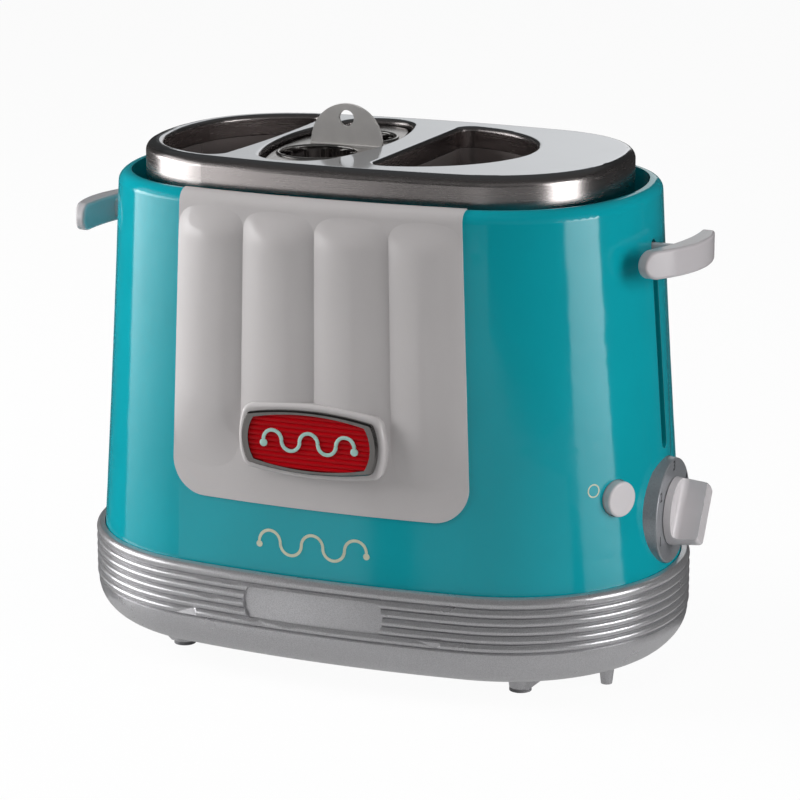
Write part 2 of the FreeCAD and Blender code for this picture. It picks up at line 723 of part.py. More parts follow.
def left_slot(growth, bottom, top):
    """The left bun slot: round to the cover's end, nearly straight to the middle."""
    around = oval_prism(grown(COVER, growth - LEFT_SLOT_INSET), bottom, top)
    corner_x = LEFT_SLOT_CORNER_X + growth
    low = Vector(corner_x, -LEFT_SLOT_CORNER_Y, bottom)
    middle = Vector(LEFT_SLOT_SIDE_X + growth, 0, bottom)
    high = Vector(corner_x, LEFT_SLOT_CORNER_Y, bottom)
    disc = prism(Part.Wire(Part.Circle(low, middle, high).toShape()), top - bottom)
    solid = around.common(disc)
    corners = [edge for edge in upright_edges(solid) if edge.BoundBox.XMin > corner_x - SLOT_CORNER]
    return solid.makeFillet(slot_corner(growth), corners)


def slot_corner(growth):
    """Radius of a bun slot's corners once its sides have moved outward by the growth."""
    return max(SLOT_CORNER + growth, SHEET)


def right_slot(growth, bottom, top):
    """The right bun slot: half a disc."""
    centre = Vector(RIGHT_SLOT_CENTRE_X, 0, bottom)
    disc = Part.makeCylinder(RIGHT_SLOT_RADIUS + growth, top - bottom, centre)
    side = RIGHT_SLOT_SIDE_X - growth
    solid = disc.cut(box_between(-LARGE, side, -LARGE, LARGE, bottom - OVERRUN, top + OVERRUN))
    corners = [edge for edge in upright_edges(solid) if abs(edge.BoundBox.XMin - side) < SHEET
               and abs(edge.BoundBox.YMin) > RIGHT_SLOT_RADIUS / 2]
    return solid.makeFillet(slot_corner(growth), corners)


def leaf_slot(growth, bottom, top):
    """The sausage slot in the middle: a full-ended leaf of four arcs."""
    half_width = LEAF_HALF_WIDTH + growth
    end_radius = LEAF_END_RADIUS + growth
    straight = LEAF_HALF_LENGTH + growth - end_radius
    side_radius = (straight ** 2 + half_width ** 2 - end_radius ** 2) / (2 * (half_width - end_radius))
    side_x = side_radius - half_width
    angle = math.atan2(straight, side_x)
    arcs = [(-side_x, 0, side_radius, -angle, angle), (0, straight, end_radius, angle, math.pi - angle),
            (side_x, 0, side_radius, math.pi - angle, math.pi + angle),
            (0, -straight, end_radius, math.pi + angle, 2 * math.pi - angle)]
    edges = []
    for x, y, radius, start, end in arcs:
        circle = Part.Circle(Vector(LEAF_X + x, y, bottom), UP, radius)
        edges.append(Part.ArcOfCircle(circle, start, end).toShape())
    return prism(Part.Wire(edges), top - bottom)


SLOTS = (left_slot, leaf_slot, right_slot)


def make_top_cover():
    """Steel cover: a rounded tray upside down, with a flange down each opening."""
    outside = oval_prism(COVER, TROUGH_FLOOR_Z, COVER_TOP)
    outside = outside.makeFillet(COVER_ROUND, top_edges(outside, COVER_TOP))
    inside = oval_prism(grown(COVER, -SHEET), TROUGH_FLOOR_Z - OVERRUN, COVER_TOP - SHEET)
    inside = inside.makeFillet(COVER_ROUND - SHEET, top_edges(inside, COVER_TOP - SHEET))
    cover = outside.cut(inside)
    flanges = [slot(SHEET, FLANGE_BOTTOM, COVER_TOP - SHEET / 2) for slot in SLOTS]
    cover = cover.multiFuse(flanges)
    openings = [slot(0, FLANGE_BOTTOM - OVERRUN, COVER_TOP + OVERRUN) for slot in SLOTS]
    cover = cover.cut(openings).removeSplitter()
    mouths = [edge for edge in top_edges(cover, COVER_TOP) if not on_cover_edge(edge)]
    return cover.makeFillet(OPENING_ROUND, mouths)


def on_cover_edge(edge):
    """Whether an edge at the top is part of the cover's outer outline."""
    flat = oval_prism(grown(COVER, -COVER_ROUND - SHEET), COVER_TOP - OVERRUN, COVER_TOP + OVERRUN)
    middle = edge.valueAt((edge.FirstParameter + edge.LastParameter) / 2)
    return not flat.isInside(middle, SHEET / 10, True)


# ---------------------------------------------------------- dial and button

def make_dial_plate():
    """Round dial plate with a raised rim, seated on the curved end of the shell."""
    back_x = body_at(DIAL_Z).half_length - 2 * SHELL_WALL
    cone = Part.makeCone(DIAL_BACK_RADIUS, DIAL_RADIUS, DIAL_FACE_X - back_x, Vector(back_x, 0, DIAL_Z),
                         ALONG)
    front_edges = [edge for edge in cone.Edges if edge.BoundBox.XMin > DIAL_FACE_X - DIAL_EDGE]
    cone = cone.makeFillet(DIAL_EDGE, front_edges)
    bore = Part.makeCylinder(SHAFT_RADIUS + FIT_GAP, LARGE, Vector(0, 0, DIAL_Z), ALONG)
    return cone.cut([body_loft(0, LEDGE_Z, RIM_TOP), bore])


def knob_back():
    """X of the knob's rear face, clear of the dial plate's recess."""
    return DIAL_FACE_X + FIT_GAP


def make_timer_knob():
    """Knob with a round flange and a straight grip between two scoops."""
    back = Vector(knob_back(), 0, DIAL_Z)
    body = Part.makeCone(KNOB_RADIUS, KNOB_NOSE_RADIUS, KNOB_LENGTH, back, ALONG)
    front_edges = [edge for edge in body.Edges if edge.BoundBox.XMin > back.x + KNOB_LENGTH - FIT_GAP]
    body = body.makeFillet(GRIP_ROUND, front_edges)
    scoops = []
    for side in (-1, 1):
        block = box_between(back.x + KNOB_FLANGE, back.x + LARGE, 0, LARGE, -LARGE, LARGE)
        block.translate(Vector(0, GRIP_THICKNESS / 2, 0))
        foot = [edge for edge in block.Edges if edge.BoundBox.XMax < back.x + KNOB_FLANGE + FIT_GAP
                and edge.BoundBox.YMax < GRIP_THICKNESS]
        block = block.makeFillet(KNOB_FLANGE, foot)
        if side < 0:
            block.rotate(Vector(0, 0, 0), ALONG, 180)
        block.translate(Vector(0, 0, DIAL_Z))
        scoops.append(block)
    knob = body.cut(scoops)
    knob.rotate(back, ALONG, -GRIP_LEAN)
    bore = Part.makeCylinder(SHAFT_RADIUS, KNOB_LENGTH / 2, back - ALONG * OVERRUN, ALONG)
    return knob.cut(bore)


def timer_face_x():
    """X of the front of the timer's body."""
    return CONTROL_BOARD_X + CONTROL_BOARD_SHEET + TIMER_LENGTH


def make_timer_shaft():
    """Shaft from the timer into the knob."""
    start = timer_face_x() - TIMER_LENGTH / 2
    end = knob_back() + KNOB_LENGTH / 2 - OVERRUN
    return Part.makeCylinder(SHAFT_RADIUS, end - start, Vector(start, 0, DIAL_Z), ALONG)


def make_timer():
    """Timer body on the control board, with the bore its shaft turns in."""
    start = CONTROL_BOARD_X + CONTROL_BOARD_SHEET
    body = Part.makeCylinder(TIMER_RADIUS, TIMER_LENGTH, Vector(start, 0, DIAL_Z), ALONG)
    bore = Part.makeCylinder(SHAFT_RADIUS + RUNNING_GAP, LARGE,
                             Vector(timer_face_x() - TIMER_LENGTH / 2 - FIT_GAP, 0, DIAL_Z), ALONG)
    return body.cut(bore)


def make_cancel_button():
    """Round push button with a shoulder behind the shell."""
    face, way = button_frame()
    front = face + way * BUTTON_PROUD
    stem_back = face - way * (SHELL_WALL + BUTTON_SEAT)
    stem = Part.makeCylinder(BUTTON_RADIUS, (front - stem_back).Length, stem_back, way)
    rim = [edge for edge in stem.Edges if (edge.CenterOfMass - front).Length < TOUCH]
    stem = stem.makeFillet(BUTTON_ROUND, rim)
    shoulder = Part.makeCylinder(BUTTON_RADIUS + BUTTON_FLANGE, BUTTON_FLANGE,
                                 stem_back - way * BUTTON_FLANGE, way)
    pin_back = stem_back - way * BUTTON_STEM
    pin = Part.makeCylinder(SHAFT_RADIUS, BUTTON_STEM, pin_back, way)
    return fused([stem, shoulder, pin])


def make_button_switch():
    """Switch behind the button, on a bracket from the control board."""
    face, way = button_frame()
    front = face - way * (SHELL_WALL + BUTTON_SEAT + BUTTON_STEM + BUTTON_TRAVEL + FIT_GAP)
    body = box_between(-SWITCH_DEPTH, 0, -SWITCH_WIDTH / 2, SWITCH_WIDTH / 2, -SWITCH_HEIGHT / 2,
                       SWITCH_HEIGHT / 2)
    body.rotate(Vector(0, 0, 0), UP, BUTTON_ANGLE)
    body.translate(front)
    middle = front - way * (SWITCH_DEPTH / 2)
    board_face = CONTROL_BOARD_X + CONTROL_BOARD_SHEET
    bracket = box_between(board_face - LARGE, middle.x, middle.y - SWITCH_WIDTH / 4,
                          middle.y + SWITCH_WIDTH / 4,
                          BUTTON_Z - SWITCH_HEIGHT / 2, BUTTON_Z + SWITCH_HEIGHT / 2)
    behind = box_between(-LARGE, board_face, -LARGE, LARGE, -LARGE, LARGE)
    return body.fuse(bracket).cut(behind).removeSplitter()


# ----------------------------------------------------------------- levers

def lever_outline():
    """Solid along X with the paddle's outline seen from the end: a level bar with full-round ends."""
    half = LEVER_HEIGHT / 2
    reach = LEVER_HALF_SPAN - half
    middle = box_between(TONGUE_END_X, LARGE, -reach, reach, LEVER_Z - half, LEVER_Z + half)
    ends = [Part.makeCylinder(half, LARGE - TONGUE_END_X, Vector(TONGUE_END_X, side * reach, LEVER_Z),
                              ALONG)
            for side in (-1, 1)]
    return fused([middle] + ends)


def make_paddle():
    """Crescent that is thick in the middle and thins to its ends, turned a little about the neck."""
    low = LEVER_Z - LEVER_HEIGHT
    outer = Part.makeCylinder(LEVER_OUTER_RADIUS, 2 * LEVER_HEIGHT,
                              Vector(LEVER_REACH - LEVER_OUTER_RADIUS, 0, low))
    inner_face_x = LEVER_REACH - LEVER_THICKNESS
    inner = Part.makeCylinder(LEVER_INNER_RADIUS, 2 * LEVER_HEIGHT,
                              Vector(inner_face_x - LEVER_INNER_RADIUS, 0, low))
    paddle = outer.cut(inner).common(lever_outline())
    paddle = paddle.makeFillet(LEVER_EDGE, paddle_edges(paddle))
    paddle.rotate(Vector(inner_face_x, 0, 0), UP, -LEVER_YAW)
    return paddle


def paddle_edges(paddle):
    """Edges round the paddle's outer and inner faces, without the seams along its sides."""
    return [edge for edge in paddle.Edges if not is_seam(edge)]


def is_seam(edge):
    """Whether an edge runs straight along X."""
    return edge.BoundBox.YLength < RUNNING_GAP and edge.BoundBox.ZLength < RUNNING_GAP


def make_lever(side):
    """Crescent paddle on a neck through the shell's slot."""
    neck = box_between(TONGUE_END_X, LEVER_PATH_X, -NECK_THICKNESS / 2, NECK_THICKNESS / 2,
                       LEVER_Z - NECK_HEIGHT / 2, LEVER_Z + NECK_HEIGHT / 2)
    long_edges = [edge for edge in neck.Edges if edge.BoundBox.XLength > NECK_THICKNESS]
    lever = fused([make_paddle(), neck.makeFillet(NECK_THICKNESS / 4, long_edges)])
    if side < 0:
        lever.rotate(Vector(0, 0, 0), UP, 180)
    return lever


# ---------------------------------------------------------------- chassis

def bar_slot(x):
    """Slot through an upright wall at X that the lift bar moves in."""
    half = BAR_THICKNESS / 2 + BAR_SLOT_MARGIN
    return box_between(x - OVERRUN, x + OVERRUN, -half, half, BAR_BOTTOM - LIFT_TRAVEL - BAR_SLOT_MARGIN,
                       BAR_TOP + BAR_SLOT_MARGIN)


def make_liner(slot):
    """Sheet-steel sleeve that carries a slot of the cover down into the body."""
    sleeve = slot(LINER_SHEET, LINER_BOTTOM, LINER_TOP)
    sleeve = sleeve.cut(slot(0, LINER_BOTTOM - OVERRUN, LINER_TOP + OVERRUN))
    half = BAR_THICKNESS / 2 + BAR_SLOT_MARGIN
    gap = box_between(-LARGE, LARGE, -half, half, -LARGE, BAR_TOP + BAR_SLOT_MARGIN)
    return sleeve.cut(gap)


def make_chassis_front(side=-1):
    """Steel plate along the front of the sleeves, with a flange under the trough."""
    inner = -CHASSIS_FRONT_Y
    plate = box_between(CHASSIS_LENGTH_LEFT, CHASSIS_LENGTH_RIGHT, inner, inner + PLATE, FLOOR_TOP,
                        TROUGH_UNDERSIDE)
    flange = box_between(CHASSIS_LENGTH_LEFT, CHASSIS_LENGTH_RIGHT, inner, inner + CHASSIS_FLANGE,
                         TROUGH_UNDERSIDE - PLATE, TROUGH_UNDERSIDE)
    whole = plate.fuse(flange)
    if side < 0:
        whole = whole.mirror(Vector(0, 0, 0), REARWARD)
    return whole.removeSplitter()


def make_chassis_rear():
    """The same plate at the rear, cut away over the crumb tray."""
    gate = box_between(-LARGE, TRAY_RIGHT + SLIDE_GAP, 0, LARGE, 0, FLOOR_TOP + TRAY_WINDOW)
    return make_chassis_front(1).cut(gate)


def make_chassis_left():
    """Narrow plate between the left sleeve and the left arm, with a slot for the lift bar."""
    plate = box_between(LEFT_PLATE_X - PLATE, LEFT_PLATE_X, -LEFT_PLATE_HALF_WIDTH, LEFT_PLATE_HALF_WIDTH,
                        FLOOR_TOP, TROUGH_UNDERSIDE)
    foot = box_between(LEFT_PLATE_X - CHASSIS_FLANGE, LEFT_PLATE_X, -LEFT_PLATE_HALF_WIDTH,
                       LEFT_PLATE_HALF_WIDTH, TROUGH_UNDERSIDE - PLATE, TROUGH_UNDERSIDE)
    return plate.fuse(foot).cut([bar_slot(LEFT_PLATE_X), left_arm_room()]).removeSplitter()


def left_arm_room():
    """Space that the left arm and its tongue need to rise and fall."""
    half = ARM_WIDTH / 2 + FIT_GAP
    return box_between(-LARGE, LEFT_PLATE_X - PLATE, -half, half, 0, LARGE)


def make_chassis_right():
    """Plate beside the right sleeve, with the shelf that holds the rods and springs."""
    plate = box_between(RIGHT_PLATE_X, RIGHT_PLATE_X + PLATE, -RIGHT_PLATE_HALF_WIDTH,
                        RIGHT_PLATE_HALF_WIDTH,
                        FLOOR_TOP, RIGHT_FLANGE_TOP)
    shelf = box_between(RIGHT_PLATE_X, RIGHT_FLANGE_X, -CROSSHEAD_HALF_WIDTH, CROSSHEAD_HALF_WIDTH,
                        RIGHT_FLANGE_TOP - PLATE, RIGHT_FLANGE_TOP)
    holes = [Part.makeCylinder(ROD_RADIUS, LARGE, Vector(ROD_X, side * ROD_Y, 0)) for side in (-1, 1)]
    return plate.fuse(shelf).cut(holes + [bar_slot(RIGHT_PLATE_X)]).removeSplitter()


def make_guide_rods():
    """Two upright rods from the floor to the shelf."""
    rods = [Part.makeCylinder(ROD_RADIUS, RIGHT_FLANGE_TOP - FLOOR_TOP,
                              Vector(ROD_X, side * ROD_Y, FLOOR_TOP)) for side in (-1, 1)]
    return Part.makeCompound(rods)


def board_halves(x, thickness, bottom, top, margin):
    """Front and rear halves of an upright sheet, apart where the lift bar passes."""
    near = BAR_THICKNESS / 2 + BAR_SLOT_MARGIN + margin
    far = -CHASSIS_FRONT_Y - FIT_GAP - margin
    return [box_between(x - thickness / 2, x + thickness / 2, min(side * near, side * far),
                        max(side * near, side * far), bottom, top) for side in (-1, 1)]


def make_heater_boards():
    """Mica boards beside the sleeves, held between the front and rear plates."""
    boards = []
    for x in BOARD_X:
        boards += board_halves(x, BOARD_THICKNESS, BOARD_BOTTOM, BOARD_TOP, 0)
    return Part.makeCompound(boards)


def make_heater_ribbons():
    """Flat heating ribbon wound round each board."""
    ribbons = []
    pitch = (BOARD_TOP - BOARD_BOTTOM - 2 * HEATER_MARGIN) / (HEATER_TURNS - 1)
    for x in BOARD_X:
        for turn in range(HEATER_TURNS):
            low = BOARD_BOTTOM + HEATER_MARGIN + turn * pitch
            outer = board_halves(x, BOARD_THICKNESS + 2 * HEATER_THICKNESS, low, low + HEATER_WIDTH,
                                 HEATER_THICKNESS)
            inner = board_halves(x, BOARD_THICKNESS, BOARD_BOTTOM, BOARD_TOP, 0)
            ribbons += [strap.cut(board) for strap, board in zip(outer, inner)]
    return Part.makeCompound(ribbons)


# --------------------------------------------------------------- carriage

def make_lift_bar():
    """Flat bar through all three sleeves, from arm to arm."""
    half = BAR_THICKNESS / 2
    return box_between(LEFT_ARM_X + ARM_THICKNESS, ARM_X, -half, half, BAR_BOTTOM, BAR_TOP)


def arm_profile():
    """Arm and tongue of the right side in one plate, seen along Y."""
    high = LEVER_Z + NECK_HEIGHT / 2
    arm = box_between(ARM_X, ARM_X + ARM_THICKNESS, -ARM_WIDTH / 2, ARM_WIDTH / 2, BAR_BOTTOM, high)
    tongue = box_between(ARM_X, TONGUE_END_X, -NECK_THICKNESS / 2, NECK_THICKNESS / 2, high - NECK_HEIGHT,
                         high)
    return arm.fuse(tongue)


def make_arm_right():
    """Right arm with the crosshead that runs on the guide rods."""
    left = RIGHT_PLATE_X + PLATE + CROSSHEAD_GAP
    crosshead = box_between(left, ARM_X + ARM_THICKNESS, -CROSSHEAD_HALF_WIDTH, CROSSHEAD_HALF_WIDTH,
                            CROSSHEAD_Z, CROSSHEAD_Z + ARM_THICKNESS)
    holes = [Part.makeCylinder(BUSH_RADIUS, LARGE, Vector(ROD_X, side * ROD_Y, 0)) for side in (-1, 1)]
    return fused([arm_profile(), crosshead]).cut(holes)


def make_arm_left():
    """Left arm between the chassis plate and the shell."""
    far = -TONGUE_END_X
    high = LEVER_Z + NECK_HEIGHT / 2
    arm = box_between(LEFT_ARM_X, LEFT_ARM_X + ARM_THICKNESS, -ARM_WIDTH / 2, ARM_WIDTH / 2, BAR_BOTTOM,
                      high)
    tongue = box_between(far, LEFT_ARM_X, -NECK_THICKNESS / 2, NECK_THICKNESS / 2, high - NECK_HEIGHT, high)
    return arm.fuse(tongue).removeSplitter()


def make_guide_bushes():
    """Brass bushes in the crosshead."""
    bushes = []
    for side in (-1, 1):
        low = Vector(ROD_X, side * ROD_Y, CROSSHEAD_Z + ARM_THICKNESS / 2 - BUSH_LENGTH / 2)
        bush = Part.makeCylinder(BUSH_RADIUS, BUSH_LENGTH, low)
        bushes.append(bush.cut(Part.makeCylinder(ROD_RADIUS + RUNNING_GAP, BUSH_LENGTH, low)))
    return Part.makeCompound(bushes)


def make_cradle(slot):
    """Pierced plate on the lift bar that a bun or the basket stands on."""
    plate = slot(-CRADLE_MARGIN, BAR_TOP, CRADLE_TOP)
    box = plate.BoundBox
    holes = []
    columns = int((box.XLength / 2 - CRADLE_HOLE) / CRADLE_HOLE_PITCH)
    rows = int((box.YLength / 2 - CRADLE_HOLE) / CRADLE_HOLE_PITCH)
    for column in range(-columns, columns + 1):
        for row in range(-rows, rows + 1):
            if row == 0:
                continue
            spot = Vector(box.Center.x + column * CRADLE_HOLE_PITCH, row * CRADLE_HOLE_PITCH,
                          BAR_TOP - OVERRUN)
            hole = Part.makeCylinder(CRADLE_HOLE / 2, CRADLE_SHEET + 2 * OVERRUN, spot)
            if slot(-2 * CRADLE_MARGIN - CRADLE_HOLE / 2, BAR_TOP, CRADLE_TOP).isInside(
                    spot + UP * (OVERRUN + CRADLE_SHEET / 2), RUNNING_GAP, False):
                holes.append(hole)
    return plate.cut(holes) if holes else plate


def make_armature():
    """Steel plate beside the arm that the magnet holds down."""
    start = ARM_WIDTH / 2
    return box_between(ARM_X, ARM_X + ARMATURE_DEPTH, start, start + ARMATURE_WIDTH, ARMATURE_Z,
                       ARMATURE_Z + ARMATURE_THICKNESS)


def make_electromagnet():
    """Holding magnet: a core with a wound coil, under the armature."""
    top = ARMATURE_Z - LIFT_TRAVEL - FIT_GAP
    start = ARM_WIDTH / 2 + MAGNET_MARGIN
    body = box_between(ARM_X + MAGNET_MARGIN, ARM_X + ARMATURE_DEPTH, start,
                       start + ARMATURE_WIDTH - MAGNET_MARGIN,
                       FLOOR_TOP, top - 2 * MAGNET_MARGIN)
    middle = body.BoundBox.Center
    core = Part.makeCylinder(ARMATURE_DEPTH / 4, 2 * MAGNET_MARGIN,
                             Vector(middle.x, middle.y, top - 2 * MAGNET_MARGIN))
    return body.fuse(core)


def make_return_springs():
    """Two extension springs from the shelf down to the crosshead."""
    low = CROSSHEAD_Z + ARM_THICKNESS
    high = RIGHT_FLANGE_TOP - PLATE
    pitch = (high - low) / SPRING_COILS
    springs = []
    for side in (-1, 1):
        spots = [Vector(0, 0, 0)]
        for i in range(SPRING_COILS):
            spots.append(Vector(SPRING_RADIUS - SPRING_WIRE / 2, 0, i * pitch))
            spots.append(Vector(SPRING_RADIUS, 0, (i + 0.5) * pitch))
        spots += [Vector(SPRING_RADIUS - SPRING_WIRE / 2, 0, high - low), Vector(0, 0, high - low),
                  spots[0]]
        spring = Part.Face(Part.makePolygon(spots)).revolve(Vector(0, 0, 0), UP, 360)
        bore = Part.makeCylinder(SPRING_RADIUS - SPRING_WIRE, high - low)
        spring = spring.cut(bore)
        spring.translate(Vector(ROD_X, side * SPRING_Y, low))
        springs.append(spring)
    return Part.makeCompound(springs)


# --------------------------------------------------------- sausage basket

def well_spots():
    """Centres of the two wells, front one first."""
    return [Vector(LEAF_X, side * WELL_Y, 0) for side in (-1, 1)]


def basket_bottom():
    """Level that the basket stands on in its cradle."""
    return CRADLE_TOP + FIT_GAP


def make_basket_plate():
    """Leaf-shaped plate with a rolled rim round each well."""
    plate = leaf_slot(-BASKET_MARGIN, BASKET_PLATE_Z, BASKET_PLATE_Z + BASKET_PLATE_SHEET)
    rims = []
    holes = []
    for spot in well_spots():
        centre = spot + UP * (BASKET_PLATE_Z + BASKET_PLATE_SHEET)
        rims.append(Part.makeTorus(WELL_RADIUS + WELL_RIM / 2, WELL_RIM / 2, centre))
        holes.append(Part.makeCylinder(WELL_RADIUS, LARGE, spot))
    return plate.cut(holes).fuse(rims[0]).fuse(rims[1])


def make_basket_wires(spot):
    """Upright wires of one well, from its floor to the plate."""
    wires = []
    reach = WELL_RADIUS - WELL_WIRE
    for i in range(WELL_WIRES):
        angle = 2 * math.pi * (i + 0.5) / WELL_WIRES
        place = spot + Vector(reach * math.cos(angle), reach * math.sin(angle),
                              basket_bottom() + BASKET_FLOOR)
        wires.append(Part.makeCylinder(WELL_WIRE, BASKET_PLATE_Z - place.z, place))
    return Part.makeCompound(wires)


def make_basket_rings():
    """Level wire hoops round both wells."""
    hoops = []
    step = (BASKET_PLATE_Z - basket_bottom()) / (RING_COUNT + 1)
    for spot in well_spots():
        for i in range(1, RING_COUNT + 1):
            centre = spot + UP * (basket_bottom() + i * step)
            outer = Part.makeCylinder(WELL_RADIUS + WELL_WIRE, WELL_WIRE, centre)
            hoops.append(outer.cut(Part.makeCylinder(WELL_RADIUS, WELL_WIRE, centre)))
    return Part.makeCompound(hoops)


def make_basket_floors():
    """Round floor under each well."""
    floors = [Part.makeCylinder(WELL_RADIUS, BASKET_FLOOR,
                                spot + UP * basket_bottom()) for spot in well_spots()]
    return Part.makeCompound(floors)


def make_basket_handle():
    """Half-round finger tab with a hole, folded from a foot on the plate."""
    base = BASKET_PLATE_Z + BASKET_PLATE_SHEET
    left = Vector(TAB_X - TAB_HALF_WIDTH, 0, base)
    right = Vector(TAB_X + TAB_HALF_WIDTH, 0, base)
    outline = Part.Wire([arc_edge(left, Vector(TAB_X, 0, TAB_TOP), right), line_edge(right, left)])
    tab = Part.Face(outline).extrude(REARWARD * TAB_SHEET)
    hole = Part.makeCylinder(TAB_HOLE_RADIUS, LARGE, Vector(TAB_X, -OVERRUN, TAB_TOP - TAB_HOLE_DROP),
                             REARWARD)
    foot_gap = WELL_Y - WELL_RADIUS - WELL_RIM
    foot = box_between(TAB_X - TAB_HALF_WIDTH, TAB_X + TAB_HALF_WIDTH, -foot_gap, foot_gap, base,
                       base + TAB_SHEET / 2)
    tab.translate(Vector(0, -TAB_SHEET / 2, 0))
    foot = foot.common(leaf_slot(-BASKET_MARGIN, base, base + TAB_SHEET))
    return tab.cut(hole).fuse(foot)


# ------------------------------------------------------------ electrics

def make_control_board():
    """Upright circuit board behind the dial."""
    return box_between(CONTROL_BOARD_X, CONTROL_BOARD_X + CONTROL_BOARD_SHEET, -CONTROL_BOARD_HALF_WIDTH,
                       CONTROL_BOARD_HALF_WIDTH, FLOOR_TOP + TUB_WALL, CONTROL_BOARD_TOP)


def gland_spot():
    """Where the gland's axis meets the rear of the shell."""
    oval = body_at(GLAND_Z)
    sag = oval.front_radius - math.sqrt(oval.front_radius ** 2 - GLAND_X ** 2)
    return Vector(GLAND_X, oval.half_depth - sag, GLAND_Z)


def make_cord_gland():
    """Strain relief in the rear of the shell, with an open bore for the cord."""
    start = -GLAND_TAIL
    spots = [Vector(GLAND_BORE, 0, start), Vector(GLAND_RADIUS - RUNNING_GAP, 0, start),
             Vector(GLAND_RADIUS - RUNNING_GAP, 0, RUNNING_GAP), Vector(GLAND_FLANGE, 0, RUNNING_GAP),
             Vector(GLAND_FLANGE, 0, SHELL_WALL), Vector(GLAND_TIP_RADIUS, 0, GLAND_REACH),
             Vector(GLAND_BORE, 0, GLAND_REACH), Vector(GLAND_BORE, 0, start)]
    boot = Part.Face(Part.makePolygon(spots)).revolve(Vector(0, 0, 0), UP, 360)
    boot.Placement = FreeCAD.Placement(gland_spot(), FreeCAD.Rotation(UP, REARWARD))
    return boot.cut(body_loft(0, LEDGE_Z, RIM_TOP).cut(body_loft(-SHELL_WALL, LEDGE_Z,
                                                                 RIM_TOP)).cut(gland_bore()))


def gland_bore():
    """Round hole in the shell that the gland sits in."""
    return Part.makeCylinder(GLAND_RADIUS, 2 * BORE_REACH, gland_spot() - REARWARD * BORE_REACH, REARWARD)


def make_terminal_block():
    """Mains terminals on the tub's floor beside the rear plate."""
    x = RIGHT_PLATE_X + PLATE + FIT_GAP
    rear = RIGHT_PLATE_HALF_WIDTH
    return box_between(x, x + TERMINAL_DEPTH, rear - TERMINAL_WIDTH, rear, FLOOR_TOP,
                       FLOOR_TOP + TERMINAL_HEIGHT)


# ------------------------------------------------------------ crumb tray

def make_crumb_tray(ring):
    """Shallow tray with a face cut from the bowl's own wall."""
    low = FLOOR_TOP + SLIDE_GAP
    rear = BODY.half_depth - BOWL_TUCK / 2
    tray = box_between(TRAY_LEFT + SLIDE_GAP, TRAY_RIGHT - SLIDE_GAP, TRAY_FRONT, rear, low,
                       low + TRAY_DEPTH)
    hollow = box_between(TRAY_LEFT + SLIDE_GAP + TRAY_WALL, TRAY_RIGHT - SLIDE_GAP - TRAY_WALL,
                         TRAY_FRONT + TRAY_WALL, BODY.half_depth - BOWL_TUCK - TRAY_WALL,
                         low + TRAY_WALL, LARGE)
    room = oval_prism(grown(BODY, -BOWL_TUCK - FIT_GAP), 0, LARGE)
    mouth = oval_prism(grown(BODY, -BOWL_TUCK / 2), 0, LARGE).common(tray_window(SLIDE_GAP))
    face = ring.common(tray_window(SLIDE_GAP))
    return tray.cut(hollow).common(room.fuse(mouth)).fuse(face).removeSplitter()


# --------------------------------------------------------------- assembly

def make_parts():
    """Every sub-part by its node name."""
    ring = base_ring_and_floor()
    front_well, rear_well = well_spots()
    return {
        "base_tub": make_base_tub(ring),
        "foot_pads": make_foot_pads(),
        "base_screws": make_base_screws(),
        "body_shell": make_body_shell(),
        "front_panel": make_front_panel(),
        "badge_frame": make_badge_frame(),
        "badge_lens": make_badge_lens(),
        "top_cover": make_top_cover(),
        "bun_liner_left": make_liner(left_slot),
        "bun_liner_right": make_liner(right_slot),
        "sausage_liner": make_liner(leaf_slot),
        "chassis_front": make_chassis_front(),
        "chassis_rear": make_chassis_rear(),
        "chassis_left": make_chassis_left(),
        "chassis_right": make_chassis_right(),
        "guide_rods": make_guide_rods(),
        "heater_boards": make_heater_boards(),
        "heater_ribbons": make_heater_ribbons(),
        "control_board": make_control_board(),
        "timer": make_timer(),
        "electromagnet": make_electromagnet(),
        "button_switch": make_button_switch(),
        "dial_plate": make_dial_plate(),
        "cord_gland": make_cord_gland(),
        "terminal_block": make_terminal_block(),
        "lift_bar": make_lift_bar(),
        "arm_right": make_arm_right(),
        "arm_left": make_arm_left(),
        "guide_bushes": make_guide_bushes(),
        "bun_cradle_left": make_cradle(left_slot),
        "bun_cradle_right": make_cradle(right_slot),
        "basket_cradle": make_cradle(leaf_slot),
        "armature": make_armature(),
        "return_springs": make_return_springs(),
        "lever_right": make_lever(1),
        "lever_left": make_lever(-1),
        "basket_plate": make_basket_plate(),
        "basket_wires_front": make_basket_wires(front_well),
        "basket_wires_rear": make_basket_wires(rear_well),
        "basket_rings": make_basket_rings(),
        "basket_floors": make_basket_floors(),
        "basket_handle": make_basket_handle(),
        "timer_knob": make_timer_knob(),
        "timer_shaft": make_timer_shaft(),
        "cancel_button": make_cancel_button(),
        "crumb_tray": make_crumb_tray(ring),
    }


def centring(parts):
    """Move that brings the middle of the whole toaster's box to X = Y = 0."""
    whole = FreeCAD.BoundBox()
    for shape in parts.values():
        whole.add(shape.optimalBoundingBox(False, False))
    return Vector(-whole.Center.x, -whole.Center.y, -whole.ZMin)


def main():
    os.makedirs("parts", exist_ok=True)
    parts = make_parts()
    move = centring(parts)
    for name, shape in parts.items():
        shape.translate(move)
        shape.exportStep(os.path.join("parts", name + ".step"))


if __name__ == "__main__":
    main()
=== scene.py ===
import json
import logging
import math
from dataclasses import dataclass, field
from enum import Enum
from typing import Any, ClassVar, Union

